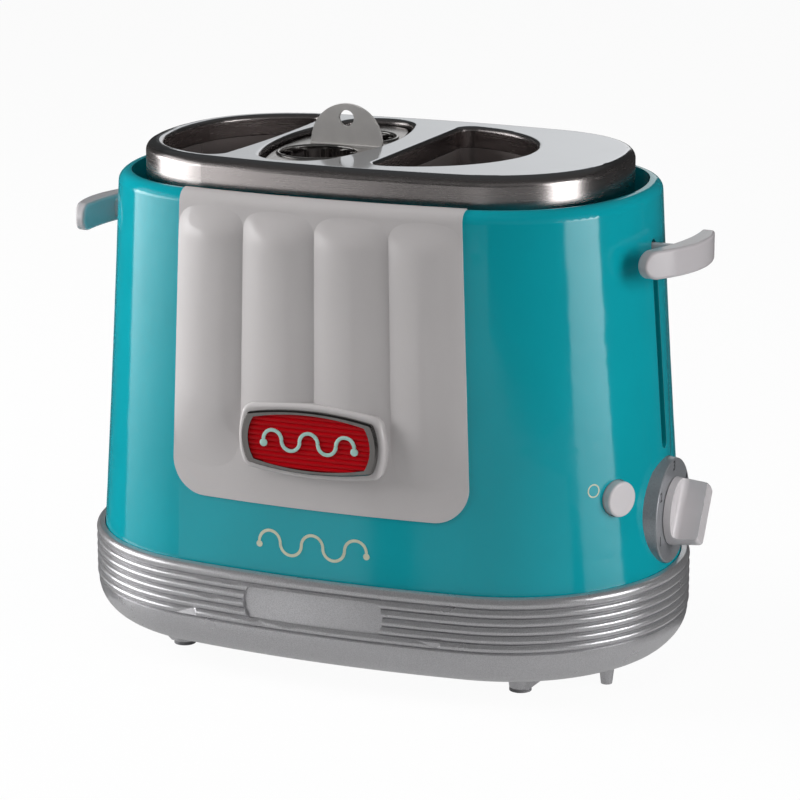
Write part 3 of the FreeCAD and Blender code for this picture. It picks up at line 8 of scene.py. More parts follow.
import bpy
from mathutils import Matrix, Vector


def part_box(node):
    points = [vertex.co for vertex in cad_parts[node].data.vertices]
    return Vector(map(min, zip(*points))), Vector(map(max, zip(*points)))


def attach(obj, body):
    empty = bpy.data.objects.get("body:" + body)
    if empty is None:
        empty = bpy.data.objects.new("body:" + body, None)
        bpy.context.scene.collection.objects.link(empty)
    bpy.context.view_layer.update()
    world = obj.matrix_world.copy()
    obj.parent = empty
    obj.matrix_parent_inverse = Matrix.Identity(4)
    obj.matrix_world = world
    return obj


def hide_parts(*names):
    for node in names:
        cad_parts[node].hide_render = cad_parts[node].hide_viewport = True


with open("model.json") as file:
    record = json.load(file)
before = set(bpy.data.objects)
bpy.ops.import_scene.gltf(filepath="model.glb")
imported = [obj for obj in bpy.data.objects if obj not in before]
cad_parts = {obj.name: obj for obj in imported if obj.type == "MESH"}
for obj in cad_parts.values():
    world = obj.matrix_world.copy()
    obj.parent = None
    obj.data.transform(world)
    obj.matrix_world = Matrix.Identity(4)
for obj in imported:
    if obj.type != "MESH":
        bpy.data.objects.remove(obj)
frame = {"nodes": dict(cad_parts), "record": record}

log = logging.getLogger("toaster")

MM = 0.001                      # metres in a millimetre
Colour = tuple[float, float, float]
Number = Union[float, "Value"]


# --------------------------------------------------------------------- colours

def grey(level: float) -> Colour:
    """A grey of a level, from 0 for black to 1 for white."""
    return (level, level, level)


def scaled(colour: Colour, share: float) -> Colour:
    """A colour made darker or lighter by a share, and never more than full."""
    return tuple(min(1.0, part * share) for part in colour)


def paled(colour: Colour, share: float) -> Colour:
    """A colour taken a share of the way to white."""
    return tuple(part + (1 - part) * share for part in colour)


# --------------------------------------------------------------- shader graph

class Span(Enum):
    """The part of a value's range that is stretched out; what lies beyond is held at its ends."""

    EVEN = (0.30, 0.70)            # nearly all of a noise
    PATCHY = (0.35, 0.75)
    BLOTCHED = (0.30, 0.80)
    SMEARED = (0.45, 0.80)         # only its higher spots
    FLAKED = (0.10, 0.60)          # of the distance from a flake's middle
    LEVEL = (0.55, 0.98)           # of the height of a normal: from a slope to level
    EDGED = (0.995, 0.75)          # of a rounded normal along the plain one: from a flat to an edge
    CARD = (-0.5, 0.5)             # from one side of a card to the other


@dataclass(frozen=True)
class Value:
    """A number that changes over a surface; sums and products of it add Math nodes."""

    graph: "Graph"
    socket: Any

    def _math(self, operation: str, first: Number, second: Number) -> "Value":
        """Adds one Math node and returns its result."""
        node = self.graph.node("ShaderNodeMath", {"operation": operation}, {0: first, 1: second})
        return Value(self.graph, node.outputs[0])

    def __add__(self, other: Number) -> "Value":
        """This value plus another."""
        return self._math("ADD", self, other)

    def __radd__(self, other: Number) -> "Value":
        """Another value plus this one."""
        return self._math("ADD", other, self)

    def __sub__(self, other: Number) -> "Value":
        """This value less another."""
        return self._math("SUBTRACT", self, other)

    def __rsub__(self, other: Number) -> "Value":
        """Another value less this one."""
        return self._math("SUBTRACT", other, self)

    def __mul__(self, other: Number) -> "Value":
        """This value times another."""
        return self._math("MULTIPLY", self, other)

    def __rmul__(self, other: Number) -> "Value":
        """Another value times this one."""
        return self._math("MULTIPLY", other, self)

    def most(self, other: Number) -> "Value":
        """The larger of this value and another."""
        return self._math("MAXIMUM", self, other)


class Graph:
    """The node tree of one material, or of the world, with the kinds of node that they share."""

    EDGE_SAMPLES: ClassVar[int] = 6

    def __init__(self, name: str, owner: Any = None) -> None:
        """Starts an empty material, or clears the owner's nodes.

        Args:
            name: The material's name, which is the record's slot where it has one.
            owner: The world, where the graph is the world's.
        """
        self.owner = owner or bpy.data.materials.new(name)
        self.owner.use_nodes = True
        self.tree = self.owner.node_tree
        self.tree.nodes.clear()

    def node(self, kind: str, settings: dict[str, Any], inputs: dict[Any, Any]) -> Any:
        """Adds a node, sets it up, and feeds it.

        Args:
            kind: The node's Blender type.
            settings: Its properties, which are set first.
            inputs: Values, or things to link, by socket name or number.

        Returns:
            The new node.
        """
        node = self.tree.nodes.new(kind)
        for key, value in settings.items():
            setattr(node, key, value)
        for key, value in inputs.items():
            self.feed(node.inputs[key], value)
        return node

    def feed(self, socket: Any, value: Any) -> None:
        """Sets a socket, or links it where the value comes from another node.

        Args:
            socket: The input socket.
            value: A number, a colour, a vector, a Value or another node's output socket.
        """
        source = value.socket if isinstance(value, Value) else value
        if isinstance(source, bpy.types.NodeSocket):
            self.tree.links.new(source, socket)
        elif isinstance(source, tuple) and len(socket.default_value) > len(source):
            socket.default_value = (*source, 1.0)
        else:
            socket.default_value = source

    def place(self, scale: tuple[float, float, float] = (1.0, 1.0, 1.0)) -> Any:
        """Object coordinates, stretched by a scale along each axis."""
        where = self.node("ShaderNodeTexCoord", {}, {}).outputs["Object"]
        return self.node("ShaderNodeMapping", {}, {"Vector": where, "Scale": scale}).outputs[0]

    def normal(self) -> Any:
        """The surface's own normal, without any bump."""
        return self.node("ShaderNodeNewGeometry", {}, {}).outputs["Normal"]

    def part(self, vector: Any, axis: str) -> Value:
        """One of a vector's three numbers."""
        return Value(self, self.node("ShaderNodeSeparateXYZ", {}, {0: vector}).outputs[axis])

    def noise(self, where: Any, scale: float, detail: float) -> Value:
        """A soft noise from 0 to 1.

        Args:
            where: The coordinates it is laid on.
            scale: Waves to the metre.
            detail: How many finer waves lie on the first.

        Returns:
            The noise.
        """
        inputs = {"Vector": where, "Scale": scale, "Detail": detail}
        return Value(self, self.node("ShaderNodeTexNoise", {}, inputs).outputs["Fac"])

    def spread(self, value: Value, span: Span, low: float = 0.0, high: float = 1.0) -> Value:
        """Stretches a span of a value.

        Args:
            value: The value.
            span: The part of its range that is stretched.
            low: What its first end becomes.
            high: What its last end becomes.

        Returns:
            The stretched value, held at both ends.
        """
        first, last = span.value
        inputs = {"Value": value, "From Min": first, "From Max": last, "To Min": low, "To Max": high}
        return Value(self, self.node("ShaderNodeMapRange", {"clamp": True}, inputs).outputs[0])

    def mixed(self, share: Number, first: Any, second: Any) -> Any:
        """The colour that lies a share of the way from a first to a second."""
        node = self.node("ShaderNodeMix", {"data_type": "RGBA"}, {0: share, 6: first, 7: second})
        return node.outputs[2]

    def bumped(self, height: Value, strength: float, depth: float) -> Any:
        """A normal that follows a height map of a depth in metres."""
        inputs = {"Height": height, "Strength": strength, "Distance": depth}
        return self.node("ShaderNodeBump", {}, inputs).outputs[0]

    def worn_edges(self, radius: float) -> Value:
        """Finds the sharp edges.

        Args:
            radius: How far from an edge its wear reaches, in metres.

        Returns:
            About 1 along sharp edges and 0 on the flats.
        """
        bevel = self.node("ShaderNodeBevel", {"samples": self.EDGE_SAMPLES}, {"Radius": radius})
        inputs = {0: bevel.outputs[0], 1: self.normal()}
        dot = self.node("ShaderNodeVectorMath", {"operation": "DOT_PRODUCT"}, inputs)
        return self.spread(Value(self, dot.outputs["Value"]), Span.EDGED)

    def ended(self, shader: Any, output: str = "ShaderNodeOutputMaterial") -> Any:
        """Ends the tree in a shader's node and returns the material or world that it belongs to."""
        self.node(output, {}, {"Surface": shader.outputs[0]})
        return self.owner


# ------------------------------------------------------------------- finishes

class Grain(Enum):
    """Which way a metal sheet was brushed, as stretches of the noise along X, Y and Z."""

    ALONG = (0.05, 1.0, 1.0)
    ACROSS = (1.0, 0.05, 1.0)
    UPRIGHT = (1.0, 1.0, 0.05)
    ROUND = (0.04, 0.04, 1.0)
    NONE = (1.0, 1.0, 1.0)


@dataclass(frozen=True)
class Finish:
    """What every finish has: a colour, a roughness, and a material that is made from them."""

    colour: Colour
    roughness: float

    def sockets(self, graph: Graph) -> dict[str, Any]:
        """What the shader's sockets take; each kind of finish says its own."""
        raise NotImplementedError

    def toned(self, graph: Graph, share: Value, swing: float) -> Any:
        """The colour, from a swing darker to a swing lighter as the share goes from 0 to 1."""
        return graph.mixed(share, scaled(self.colour, 1 - swing), scaled(self.colour, 1 + swing))

    def dulled(self, graph: Graph, patches: Value, span: Span, dust: float) -> Value:
        """The roughness, with up to a share more of it in patches."""
        return graph.spread(patches, span, self.roughness, self.roughness * (1 + dust))

    def streaked(self, graph: Graph, lines: Value, streak: float) -> Value:
        """The roughness, more and less of it by a streak along brush marks."""
        return graph.spread(lines, Span.EVEN, self.roughness - streak, self.roughness + streak)

    def material(self, name: str) -> bpy.types.Material:
        """Builds the material.

        Args:
            name: Its name.

        Returns:
            The material.
        """
        graph = Graph(name)
        graph.owner.diffuse_color = (*self.colour, 1.0)
        return graph.ended(graph.node("ShaderNodeBsdfPrincipled", {}, self.sockets(graph)))


@dataclass(frozen=True)
class Moulded(Finish):
    """Moulded plastic with a skin that is never quite even."""

    cloud: float = 0.06            # how much the colour drifts
    cloud_scale: float = 14.0      # here and below, waves to the metre
    dust: float = 0.10             # how much duller the skin is in patches
    dust_scale: float = 36.0
    peel: float = 0.06 * MM        # height of the skin's waves
    peel_scale: float = 130.0
    speck: float = 0.04            # height of its fine specks, as a share of the waves
    speck_scale: float = 1400.0
    relief: float = 0.35           # how strongly waves and specks bend the light
    edge_gain: float = 0.12        # how much paler edges are
    edge_width: float = 0.5 * MM
    gloss: float = 0.5             # strength of its plain reflection

    def sockets(self, graph: Graph) -> dict[str, Any]:
        """Clouds the colour, dulls patches, pales the edges and gives the skin its waves.

        Args:
            graph: The material's node tree.

        Returns:
            What the shader's sockets take.
        """
        where = graph.place()
        drift = graph.spread(graph.noise(where, self.cloud_scale, detail=2.0), Span.EVEN)
        colour = self.toned(graph, drift, self.cloud)
        edges = graph.worn_edges(self.edge_width)
        patches = graph.noise(where, self.dust_scale, detail=5.0)
        waves = graph.noise(where, self.peel_scale, detail=1.0)
        specks = graph.noise(where, self.speck_scale, detail=2.0)
        return {
            "Base Color": graph.mixed(edges, colour, paled(self.colour, self.edge_gain)),
            "Roughness": self.dulled(graph, patches, Span.PATCHY, self.dust),
            "Normal": graph.bumped(waves + self.speck * specks, self.relief, self.peel),
            "Specular IOR Level": self.gloss,
        }


@dataclass(frozen=True)
class Sheet(Finish):
    """Sheet metal, brushed or plain, with smears and a lighter edge."""

    grain: Grain = Grain.NONE
    line_scale: float = 1500.0     # brush marks to the metre, across the grain
    streak: float = 0.12           # how much the marks change the roughness
    depth: float = 0.012 * MM      # height of the marks
    relief: float = 0.5            # how strongly they bend the light
    smear: float = 0.10            # how much fingermarks dull it
    smear_scale: float = 28.0
    tint: float = 0.12             # how much the colour drifts
    tint_scale: float = 160.0
    edge_gain: float = 1.25        # the edges' lightness, as a share of the flats'
    edge_width: float = 0.4 * MM
    metal: float = 1.0             # less where heat has dulled the skin

    def sockets(self, graph: Graph) -> dict[str, Any]:
        """Brushes and smears the sheet, and lightens its edges.

        Args:
            graph: The material's node tree.

        Returns:
            What the shader's sockets take.
        """
        brushed = graph.place(self.grain.value)
        lines = graph.noise(brushed, self.line_scale, detail=4.0)
        streaks = self.streaked(graph, lines, self.streak)
        smears = graph.spread(graph.noise(graph.place(), self.smear_scale, detail=6.0), Span.SMEARED)
        broad = graph.noise(brushed, self.tint_scale, detail=3.0)
        colour = self.toned(graph, graph.spread(broad, Span.EVEN), self.tint)
        edges = graph.worn_edges(self.edge_width)
        return {
            "Base Color": graph.mixed(edges, colour, scaled(self.colour, self.edge_gain)),
            "Roughness": streaks + self.smear * smears,
            "Normal": graph.bumped(lines, self.relief, self.depth),
            "Metallic": self.metal,
        }


@dataclass(frozen=True)
class Rolled(Finish):
    """Steel pressed from one sheet: satin where it stands upright, nearly a mirror where it lies flat,
    and with a painted reflection that colours what lies flat a paler bluish white.
    """

    top: Colour                    # painted reflection: the paler bluish colour of what lies flat, standing for the bright surroundings that it mirrors; colour and roughness are the upright sides'
    top_roughness: float = 0.09
    line_scale: float = 1500.0     # brush marks to the metre
    streak: float = 0.03           # how much the marks change the roughness
    depth: float = 0.0005 * MM     # height of the marks
    relief: float = 0.35           # how strongly they bend the light
    smear: float = 0.03            # how much fingermarks dull it
    smear_scale: float = 30.0
    dim: float = 0.7               # the dimmest colour, as a share of the sides'
    dimming: float = 0.10          # how much of the dimmest colour its clouds take
    cloud_scale: float = 18.0

    def sockets(self, graph: Graph) -> dict[str, Any]:
        """Turns the satin sides into a top painted paler and bluer as a painted reflection, with brush
        marks, smears and clouds.

        Args:
            graph: The material's node tree.

        Returns:
            What the shader's sockets take.
        """
        flat = graph.spread(graph.part(graph.normal(), "Z"), Span.LEVEL)
        lines = graph.noise(graph.place(Grain.ROUND.value), self.line_scale, detail=3.0)
        streaks = self.streaked(graph, lines, self.streak)
        smears = graph.spread(graph.noise(graph.place(), self.smear_scale, detail=6.0), Span.SMEARED)
        clouds = graph.noise(graph.place(), self.cloud_scale, detail=3.0)
        bright = graph.spread(clouds, Span.EVEN, 1 - self.dimming, 1.0)
        # painted reflection: what lies flat takes the paler bluish top colour instead of the sides'
        # colour
        colour = graph.mixed(flat, self.colour, self.top)
        return {
            "Base Color": graph.mixed(bright, scaled(self.colour, self.dim), colour),
            "Roughness": streaks - flat * (self.roughness - self.top_roughness) + self.smear * smears,
            "Normal": graph.bumped(lines, self.relief, self.depth),
            "Metallic": 1.0,
        }


@dataclass(frozen=True)
class Flake(Finish):
    """Silver paint with fine flakes under a satin coat."""

    metal: float                   # how much of it reflects as metal does
    flake: float = 0.22            # how much the flakes differ
    flake_scale: float = 2600.0    # flakes to the metre
    pale: float = 1.12             # the palest clouds, as a share of the colour
    paling: float = 0.5            # how much of them is mixed in
    cloud_scale: float = 22.0
    dust: float = 0.25             # how much duller it is in patches
    dust_scale: float = 60.0
    grit: float = 0.03 * MM        # height of the flakes
    grit_scale: float = 700.0
    relief: float = 0.25           # how strongly they bend the light
    coat: float = 0.25
    coat_roughness: float = 0.12

    def sockets(self, graph: Graph) -> dict[str, Any]:
        """Scatters the flakes, clouds the paint and coats it.

        Args:
            graph: The material's node tree.

        Returns:
            What the shader's sockets take.
        """
        where = graph.place()
        cells = graph.node("ShaderNodeTexVoronoi", {}, {"Vector": where, "Scale": self.flake_scale})
        sparkle = graph.spread(Value(graph, cells.outputs["Distance"]), Span.FLAKED)
        colour = self.toned(graph, sparkle, self.flake)
        drift = graph.spread(graph.noise(where, self.cloud_scale, detail=4.0), Span.PATCHY)
        patches = graph.noise(where, self.dust_scale, detail=4.0)
        grit = graph.noise(where, self.grit_scale, detail=2.0)
        return {
            "Base Color": graph.mixed(drift * self.paling, colour, scaled(self.colour, self.pale)),
            "Roughness": self.dulled(graph, patches, Span.BLOTCHED, self.dust),
            "Normal": graph.bumped(grit, self.relief, self.grit),
            "Metallic": self.metal,
            "Coat Weight": self.coat,
            "Coat Roughness": self.coat_roughness,
        }


@dataclass(frozen=True)
class Ink(Finish):
    """Thin printed ink."""

    roughness: float = 0.35
    thin: float = 0.88             # the colour where the ink is thin, as a share
    mottle_scale: float = 420.0
    dust: float = 0.3              # how much duller it is in patches
    dust_scale: float = 260.0

    def sockets(self, graph: Graph) -> dict[str, Any]:
        """Mottles the ink and dulls it in patches.

        Args:
            graph: The material's node tree.

        Returns:
            What the shader's sockets take.
        """
        where = graph.place()
        mottle = graph.spread(graph.noise(where, self.mottle_scale, detail=4.0), Span.EVEN)
        patches = graph.noise(where, self.dust_scale, detail=3.0)
        return {
            "Base Color": graph.mixed(mottle, scaled(self.colour, self.thin), self.colour),
            "Roughness": self.dulled(graph, patches, Span.EVEN, self.dust),
        }


# Colours are linear, as the shaders take them.
FINISHES: dict[str, Finish] = {
    "shell_teal": Moulded((0.002, 0.335, 0.400), 0.10),
    "base_silver": Flake((0.52, 0.515, 0.53), 0.27, metal=0.72),
    "dial_silver": Flake((0.30, 0.31, 0.33), 0.30, metal=0.45),
    "panel_white": Moulded((0.54, 0.515, 0.515), 0.12, cloud=0.03),
    "control_white": Moulded((0.50, 0.475, 0.490), 0.20, cloud=0.03),
    # the next white is the same plastic as control_white, made paler: painted light for the light that
    # falls on the knob and the button
    "knob_white": Moulded((0.64, 0.61, 0.625), 0.18, cloud=0.03),
    "badge_chrome": Sheet((0.19, 0.18, 0.175), 0.16, Grain.UPRIGHT, streak=0.04, depth=0.002 * MM,
                          smear=0.04),
    "badge_red": Moulded((0.42, 0.002, 0.006), 0.16, peel=0.02 * MM, edge_gain=0.0, gloss=0.15),
    # the top colour here is a painted reflection of bright surroundings on the cover's flat top
    "cover_steel": Rolled((0.60, 0.555, 0.545), 0.25, top=(0.67, 0.705, 0.745)),
    "inner_steel": Sheet((0.46, 0.41, 0.40), 0.20, Grain.ROUND, streak=0.03, depth=0.001 * MM,
                         smear=0.05, tint=0.06, metal=0.72),
    "chassis_steel": Sheet(grey(0.42), 0.38),
    "basket_steel": Sheet((0.58, 0.565, 0.55), 0.20, Grain.ACROSS, streak=0.03, depth=0.001 * MM,
                          smear=0.05, tint=0.04),
    "handle_steel": Sheet((0.66, 0.64, 0.625), 0.34, Grain.ACROSS, streak=0.04, depth=0.001 * MM,
                          tint=0.04, metal=0.45),
    "rod_steel": Sheet(grey(0.60), 0.15, streak=0.04),
    "spring_steel": Sheet(grey(0.50), 0.22, streak=0.05),
    "screw_steel": Sheet(grey(0.42), 0.32),
    "bush_brass": Sheet((0.60, 0.43, 0.17), 0.30),
    "mica": Moulded((0.45, 0.36, 0.22), 0.55, cloud=0.25, peel=0.10 * MM, peel_scale=300.0),
    "heater_metal": Sheet((0.30, 0.28, 0.26), 0.45, tint=0.3),
    "board_green": Moulded((0.03, 0.16, 0.07), 0.40, cloud=0.15),
    "electric_black": Moulded(grey(0.03), 0.45, cloud=0.10),
    "magnet_iron": Sheet((0.22, 0.13, 0.08), 0.50, tint=0.25),
    "foot_grey": Moulded((0.26, 0.26, 0.27), 0.60, cloud=0.12, peel=0.10 * MM, peel_scale=500.0),
    "tray_steel": Sheet(grey(0.42), 0.30, Grain.ALONG),
    "ink_black": Ink((0.015, 0.015, 0.018)),
    "ink_mint": Ink((0.42, 0.66, 0.60)),
    "ink_cream": Ink((0.62, 0.66, 0.50)),
}


class Palette:
    """Every finish of the toaster, each built once. OWN is for the nodes that don't take their slot's."""

    # the knob and the button take a paler copy of the controls' white, which is painted light
    OWN: ClassVar[dict[str, str]] = {"timer_knob": "knob_white", "cancel_button": "knob_white",
                                     "basket_handle": "handle_steel", "foot_pads": "foot_grey"}

    def __init__(self) -> None:
        """Builds the finishes."""
        self.made = {name: finish.material(name) for name, finish in FINISHES.items()}

    def dress(self, piece: bpy.types.Object, name: str) -> None:
        """Gives a piece one finish all over.

        Args:
            piece: The piece, with or without material slots.
            name: The finish.
        """
        slots = piece.data.materials
        if len(slots) == 0:
            slots.append(self.made[name])
        for index in range(len(slots)):
            slots[index] = self.made[name]

    def dress_frame(self) -> None:
        """Gives each CAD node its own finish, or that of the slot which its packed material names."""
        slots = [row["slot"] for row in frame["record"]["materials"]]
        for name, piece in frame["nodes"].items():
            packed = [material.name.split(".")[0] for material in piece.data.materials if material]
            slot = next((slot for slot in packed if slot in slots), None)
            if slot is None:
                log.warning("no slot on %s: %s", name, packed)
                continue
            finish = self.OWN.get(name, slot)
            self.dress(piece, finish)
            log.info("%s takes %s", name, finish)


# ------------------------------------------------------------------- modelling

class Bench:
    """Blender's own modelling tools, with everything deselected before each start."""

    CORNERS: ClassVar[int] = 64    # round a disc

    @staticmethod
    def clear() -> None:
        """Leaves nothing selected and no piece in edit mode."""
        if bpy.context.object and bpy.context.object.mode != "OBJECT":
            bpy.ops.object.mode_set(mode="OBJECT")
        bpy.ops.object.select_all(action="DESELECT")

    @staticmethod
    def only(piece: bpy.types.Object) -> None:
        """Selects one piece and makes it the active one.

        Args:
            piece: The piece.
        """
        Bench.clear()
        piece.select_set(True)
        bpy.context.view_layer.objects.active = piece

    @staticmethod
    def opened(piece: bpy.types.Object) -> None:
        """Takes one piece into edit mode with all of its mesh selected.

        Args:
            piece: The piece.
        """
        Bench.only(piece)
        bpy.ops.object.mode_set(mode="EDIT")
        bpy.ops.mesh.select_all(action="SELECT")

    @staticmethod
    def rest(piece: bpy.types.Object) -> None:
        """Writes a piece's place into its mesh, so that its object sits at the origin.

        Args:
            piece: The piece, which becomes a mesh if it is a text.
        """
        Bench.only(piece)
        if piece.type != "MESH":
            bpy.ops.object.convert(target="MESH")
        bpy.ops.object.transform_apply(location=True, rotation=True, scale=True)

    @staticmethod
    def text(words: str, size: float, weight: float, depth: float, place: Vector,
             turn: tuple[float, float, float]) -> bpy.types.Object:
        """A short raised text.

        Args:
            words: What it says.
            size: Height of the letters' body, in metres.
            weight: How much its strokes are widened.
            depth: How far it stands out.
            place: Its centre.
            turn: Its rotation, in radians.

        Returns:
            The text as a mesh at rest.
        """
        Bench.clear()
        bpy.ops.object.text_add(location=place, rotation=turn)
        piece = bpy.context.object
        piece.data.body = words
        piece.data.size = size
        piece.data.offset = weight
        piece.data.extrude = depth / 2
        piece.data.align_x = "CENTER"
        piece.data.align_y = "CENTER"
        Bench.rest(piece)
        return piece

    @staticmethod
    def disc(radius: float, place: Vector, azimuth: float = 0.0) -> bpy.types.Object:
        """An upright flat disc.

        Args:
            radius: Its radius.
            place: Its centre.
            azimuth: Where it faces, in degrees; 0 is the front.

        Returns:
            The disc as a mesh at rest.
        """
        Bench.clear()
        turn = (math.radians(90), 0.0, math.radians(azimuth))
        bpy.ops.mesh.primitive_circle_add(vertices=Bench.CORNERS, radius=radius, fill_type="NGON",
                                          location=place, rotation=turn)
        piece = bpy.context.object
        Bench.rest(piece)
        return piece

    @staticmethod
    def ring(radius: float, line: float, place: Vector, azimuth: float = 0.0) -> bpy.types.Object:
        """An upright flat ring.

        Args:
            radius: To the middle of its line.
            line: Width of the line.
            place: Its centre.
            azimuth: Where it faces, in degrees.

        Returns:
            The ring as a mesh at rest.
        """
        piece = Bench.disc(radius + line / 2, place, azimuth)
        Bench.opened(piece)
        bpy.ops.mesh.inset(thickness=line)
        bpy.ops.mesh.delete(type="FACE")
        bpy.ops.object.mode_set(mode="OBJECT")
        return piece

    @staticmethod
    def half(piece: bpy.types.Object, place: Vector, up: float) -> None:
        """Keeps one half of a piece.

        Args:
            piece: The piece.
            place: Where it is cut.
            up: 1 to keep what lies above the cut, or -1 for what lies below.
        """
        Bench.opened(piece)
        bpy.ops.mesh.bisect(plane_co=place, plane_no=(0.0, 0.0, up), clear_inner=True)
        bpy.ops.object.mode_set(mode="OBJECT")

    @staticmethod
    def joined(pieces: list[bpy.types.Object]) -> bpy.types.Object:
        """Makes one piece of several.

        Args:
            pieces: The pieces.

        Returns:
            The first of them, which now holds them all.
        """
        Bench.only(pieces[0])
        for piece in pieces[1:]:
            piece.select_set(True)
        bpy.ops.object.join()
        return pieces[0]

    @staticmethod
    def modify(piece: bpy.types.Object, kind: str, settings: dict[str, Any]) -> None:
        """Adds a modifier and applies it.

        Args:
            piece: The piece.
            kind: The modifier's Blender type.
            settings: Its properties.
        """
        Bench.only(piece)
        modifier = piece.modifiers.new(kind.lower(), kind)
        for key, value in settings.items():
            setattr(modifier, key, value)
        bpy.ops.object.modifier_apply(modifier=modifier.name)

    @staticmethod
    def printed(piece: bpy.types.Object, node: str, lift: float) -> None:
        """Lays a flat piece on a CAD node.

        Args:
            piece: The flat piece.
            node: The node that it is printed on.
            lift: How far it stands off the node's facets.
        """
        settings = {"target": frame["nodes"][node], "offset": lift, "wrap_mode": "ABOVE_SURFACE",
                    "wrap_method": "NEAREST_SURFACEPOINT"}
        Bench.modify(piece, "SHRINKWRAP", settings)

    @staticmethod
    def finish(piece: bpy.types.Object, name: str, body: str, smooth: float = 30.0) -> None:
        """Names a piece, smooths it, and lets it ride on a body.

        Args:
            piece: The piece.
            name: Its name.
            body: The CAD body that carries it.
            smooth: Degrees up to which its faces run into each other.
        """
        piece.name = name
        piece.data.name = name
        Bench.only(piece)
        bpy.ops.object.shade_smooth_by_angle(angle=math.radians(smooth))
        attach(piece, body)
        log.info("%s rides on %s", name, body)


def middle(node: str) -> Vector:
    """Centre of a CAD node's box."""
    low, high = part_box(node)
    return (low + high) / 2


# ------------------------------------------------------------------ assemblies

@dataclass
class Recast:
    """A CAD node's own mesh, merged and smoothed evenly, which stands for the node."""

    palette: Palette
    node: str
    slot: str
    body: str = "housing"
    merge: float = 0.002 * MM      # corners nearer than this become one
    smooth: float = 35.0           # degrees up to which faces run into each other
    weight: int = 80               # how much more large faces count in a shared normal

    def build(self) -> None:
        """Copies the node's mesh, joins its faces, and replaces the node."""
        source = frame["nodes"][self.node]
        piece = bpy.data.objects.new(self.node, source.data.copy())
        piece.matrix_world = source.matrix_world
        bpy.context.scene.collection.objects.link(piece)
        Bench.rest(piece)
        bpy.ops.mesh.customdata_custom_splitnormals_clear()
        Bench.opened(piece)
        bpy.ops.mesh.remove_doubles(threshold=self.merge)
        bpy.ops.object.mode_set(mode="OBJECT")
        self.palette.dress(piece, self.slot)
        Bench.finish(piece, f"{self.node}_smoothed", self.body, self.smooth)
        Bench.modify(piece, "WEIGHTED_NORMAL", {"keep_sharp": True, "weight": self.weight})
        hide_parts(self.node)


@dataclass
class DialPrint:
    """The numbers printed round the dial."""

    palette: Palette
    radius: float = 19.2 * MM      # from the dial's middle to a number's
    height: float = 5.8 * MM
    weight: float = 0.12 * MM      # how much bolder the numbers are than the plain face
    ink: float = 0.08 * MM         # how thick it lies
    last: int = 5
    step: float = 60.0             # degrees from one number to the next

    def build(self) -> None:
        """Prints the numbers on the dial's face."""
        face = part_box("dial_plate")[1].x
        centre = middle("dial_plate")
        turn = (math.radians(90), 0.0, math.radians(90))
        for number in range(1, self.last + 1):
            angle = math.radians(self.step * ((self.last + 1) / 2 - number))
            place = Vector((face, centre.y - self.radius * math.sin(angle),
                            centre.z + self.radius * math.cos(angle)))
            mark = Bench.text(str(number), self.height, self.weight, self.ink, place, turn)
            self.palette.dress(mark, "ink_black")
            Bench.finish(mark, f"dial_number_{number}", "housing")


@dataclass
class Flourish:
    """A wave of half rings that ends in two dots."""

    radius: float                  # of each half ring, to the middle of its line
    line: float                    # width of the line
    rings: int = 5
    dot: float = 1.1               # radius of the end dots, as a share of the line

    def drawn(self, centre: Vector) -> bpy.types.Object:
        """Draws it flat and upright, facing the front.

        Args:
            centre: Where its middle goes.

        Returns:
            The wave as one flat mesh.
        """
        step = 2 * self.radius
        first = -step * (self.rings - 1) / 2
        pieces = []
        for index in range(self.rings):
            place = centre + Vector((first + step * index, 0.0, 0.0))
            ring = Bench.ring(self.radius, self.line, place)
            Bench.half(ring, place, -1.0 if index % 2 else 1.0)
            pieces.append(ring)
        dot = self.dot * self.line
        for side in (-1.0, 1.0):
            end = Vector((side * step * self.rings / 2, 0.0, -dot if self.rings % 2 else side * dot))
            pieces.append(Bench.disc(dot, centre + end))
        return Bench.joined(pieces)


@dataclass
class Trim:
    """The plain ornaments: a wave raised on the badge, and a wave and a ring printed on the shell."""

    palette: Palette
    badge_wave: Flourish = field(default_factory=lambda: Flourish(4.1 * MM, 1.5 * MM))
    sunk: float = 0.3 * MM         # how deep the raised wave sits in the badge's ribs
    raised: float = 0.8 * MM
    rounding: float = 0.2 * MM     # of the raised wave's edges
    rounding_steps: int = 2
    lift: float = 0.10 * MM        # of a print over the facets
    shell_wave: Flourish = field(default_factory=lambda: Flourish(4.9 * MM, 1.3 * MM))
    # both places are measured from the point on the table below the shell's middle
    shell_place: Vector = field(default_factory=lambda: Vector((-1.0, -79.2, 63.0)) * MM)
    mark_place: Vector = field(default_factory=lambda: Vector((111.42, -47.38, 91.54)) * MM)
    mark_azimuth: float = 54.7     # degrees; 0 is in front, 90 at the dial end
    mark_radius: float = 2.6 * MM
    mark_line: float = 0.6 * MM

    def build(self) -> None:
        """Makes the badge's wave, the shell's wave, and the ring beside the button."""
        lens = middle("badge_lens")
        lens.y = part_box("badge_lens")[0].y + self.sunk
        wave = self.badge_wave.drawn(lens)
        Bench.modify(wave, "SOLIDIFY", {"thickness": self.raised, "offset": 1.0})
        Bench.modify(wave, "BEVEL", {"width": self.rounding, "segments": self.rounding_steps})
        self._inked(wave, "badge_wave", "ink_mint")
        shell = middle("body_shell")
        shell.z = 0.0
        large = self.shell_wave.drawn(shell + self.shell_place)
        Bench.printed(large, "body_shell", self.lift)
        self._inked(large, "shell_wave", "ink_cream")
        mark = Bench.ring(self.mark_radius, self.mark_line, shell + self.mark_place, self.mark_azimuth)
        Bench.printed(mark, "body_shell", self.lift)
        self._inked(mark, "button_ring", "ink_cream")

    def _inked(self, piece: bpy.types.Object, name: str, ink: str) -> None:
        """Gives a piece its ink and lets it ride on the housing."""
        self.palette.dress(piece, ink)
        Bench.finish(piece, name, "housing")


# ---------------------------------------------------------------------- studio

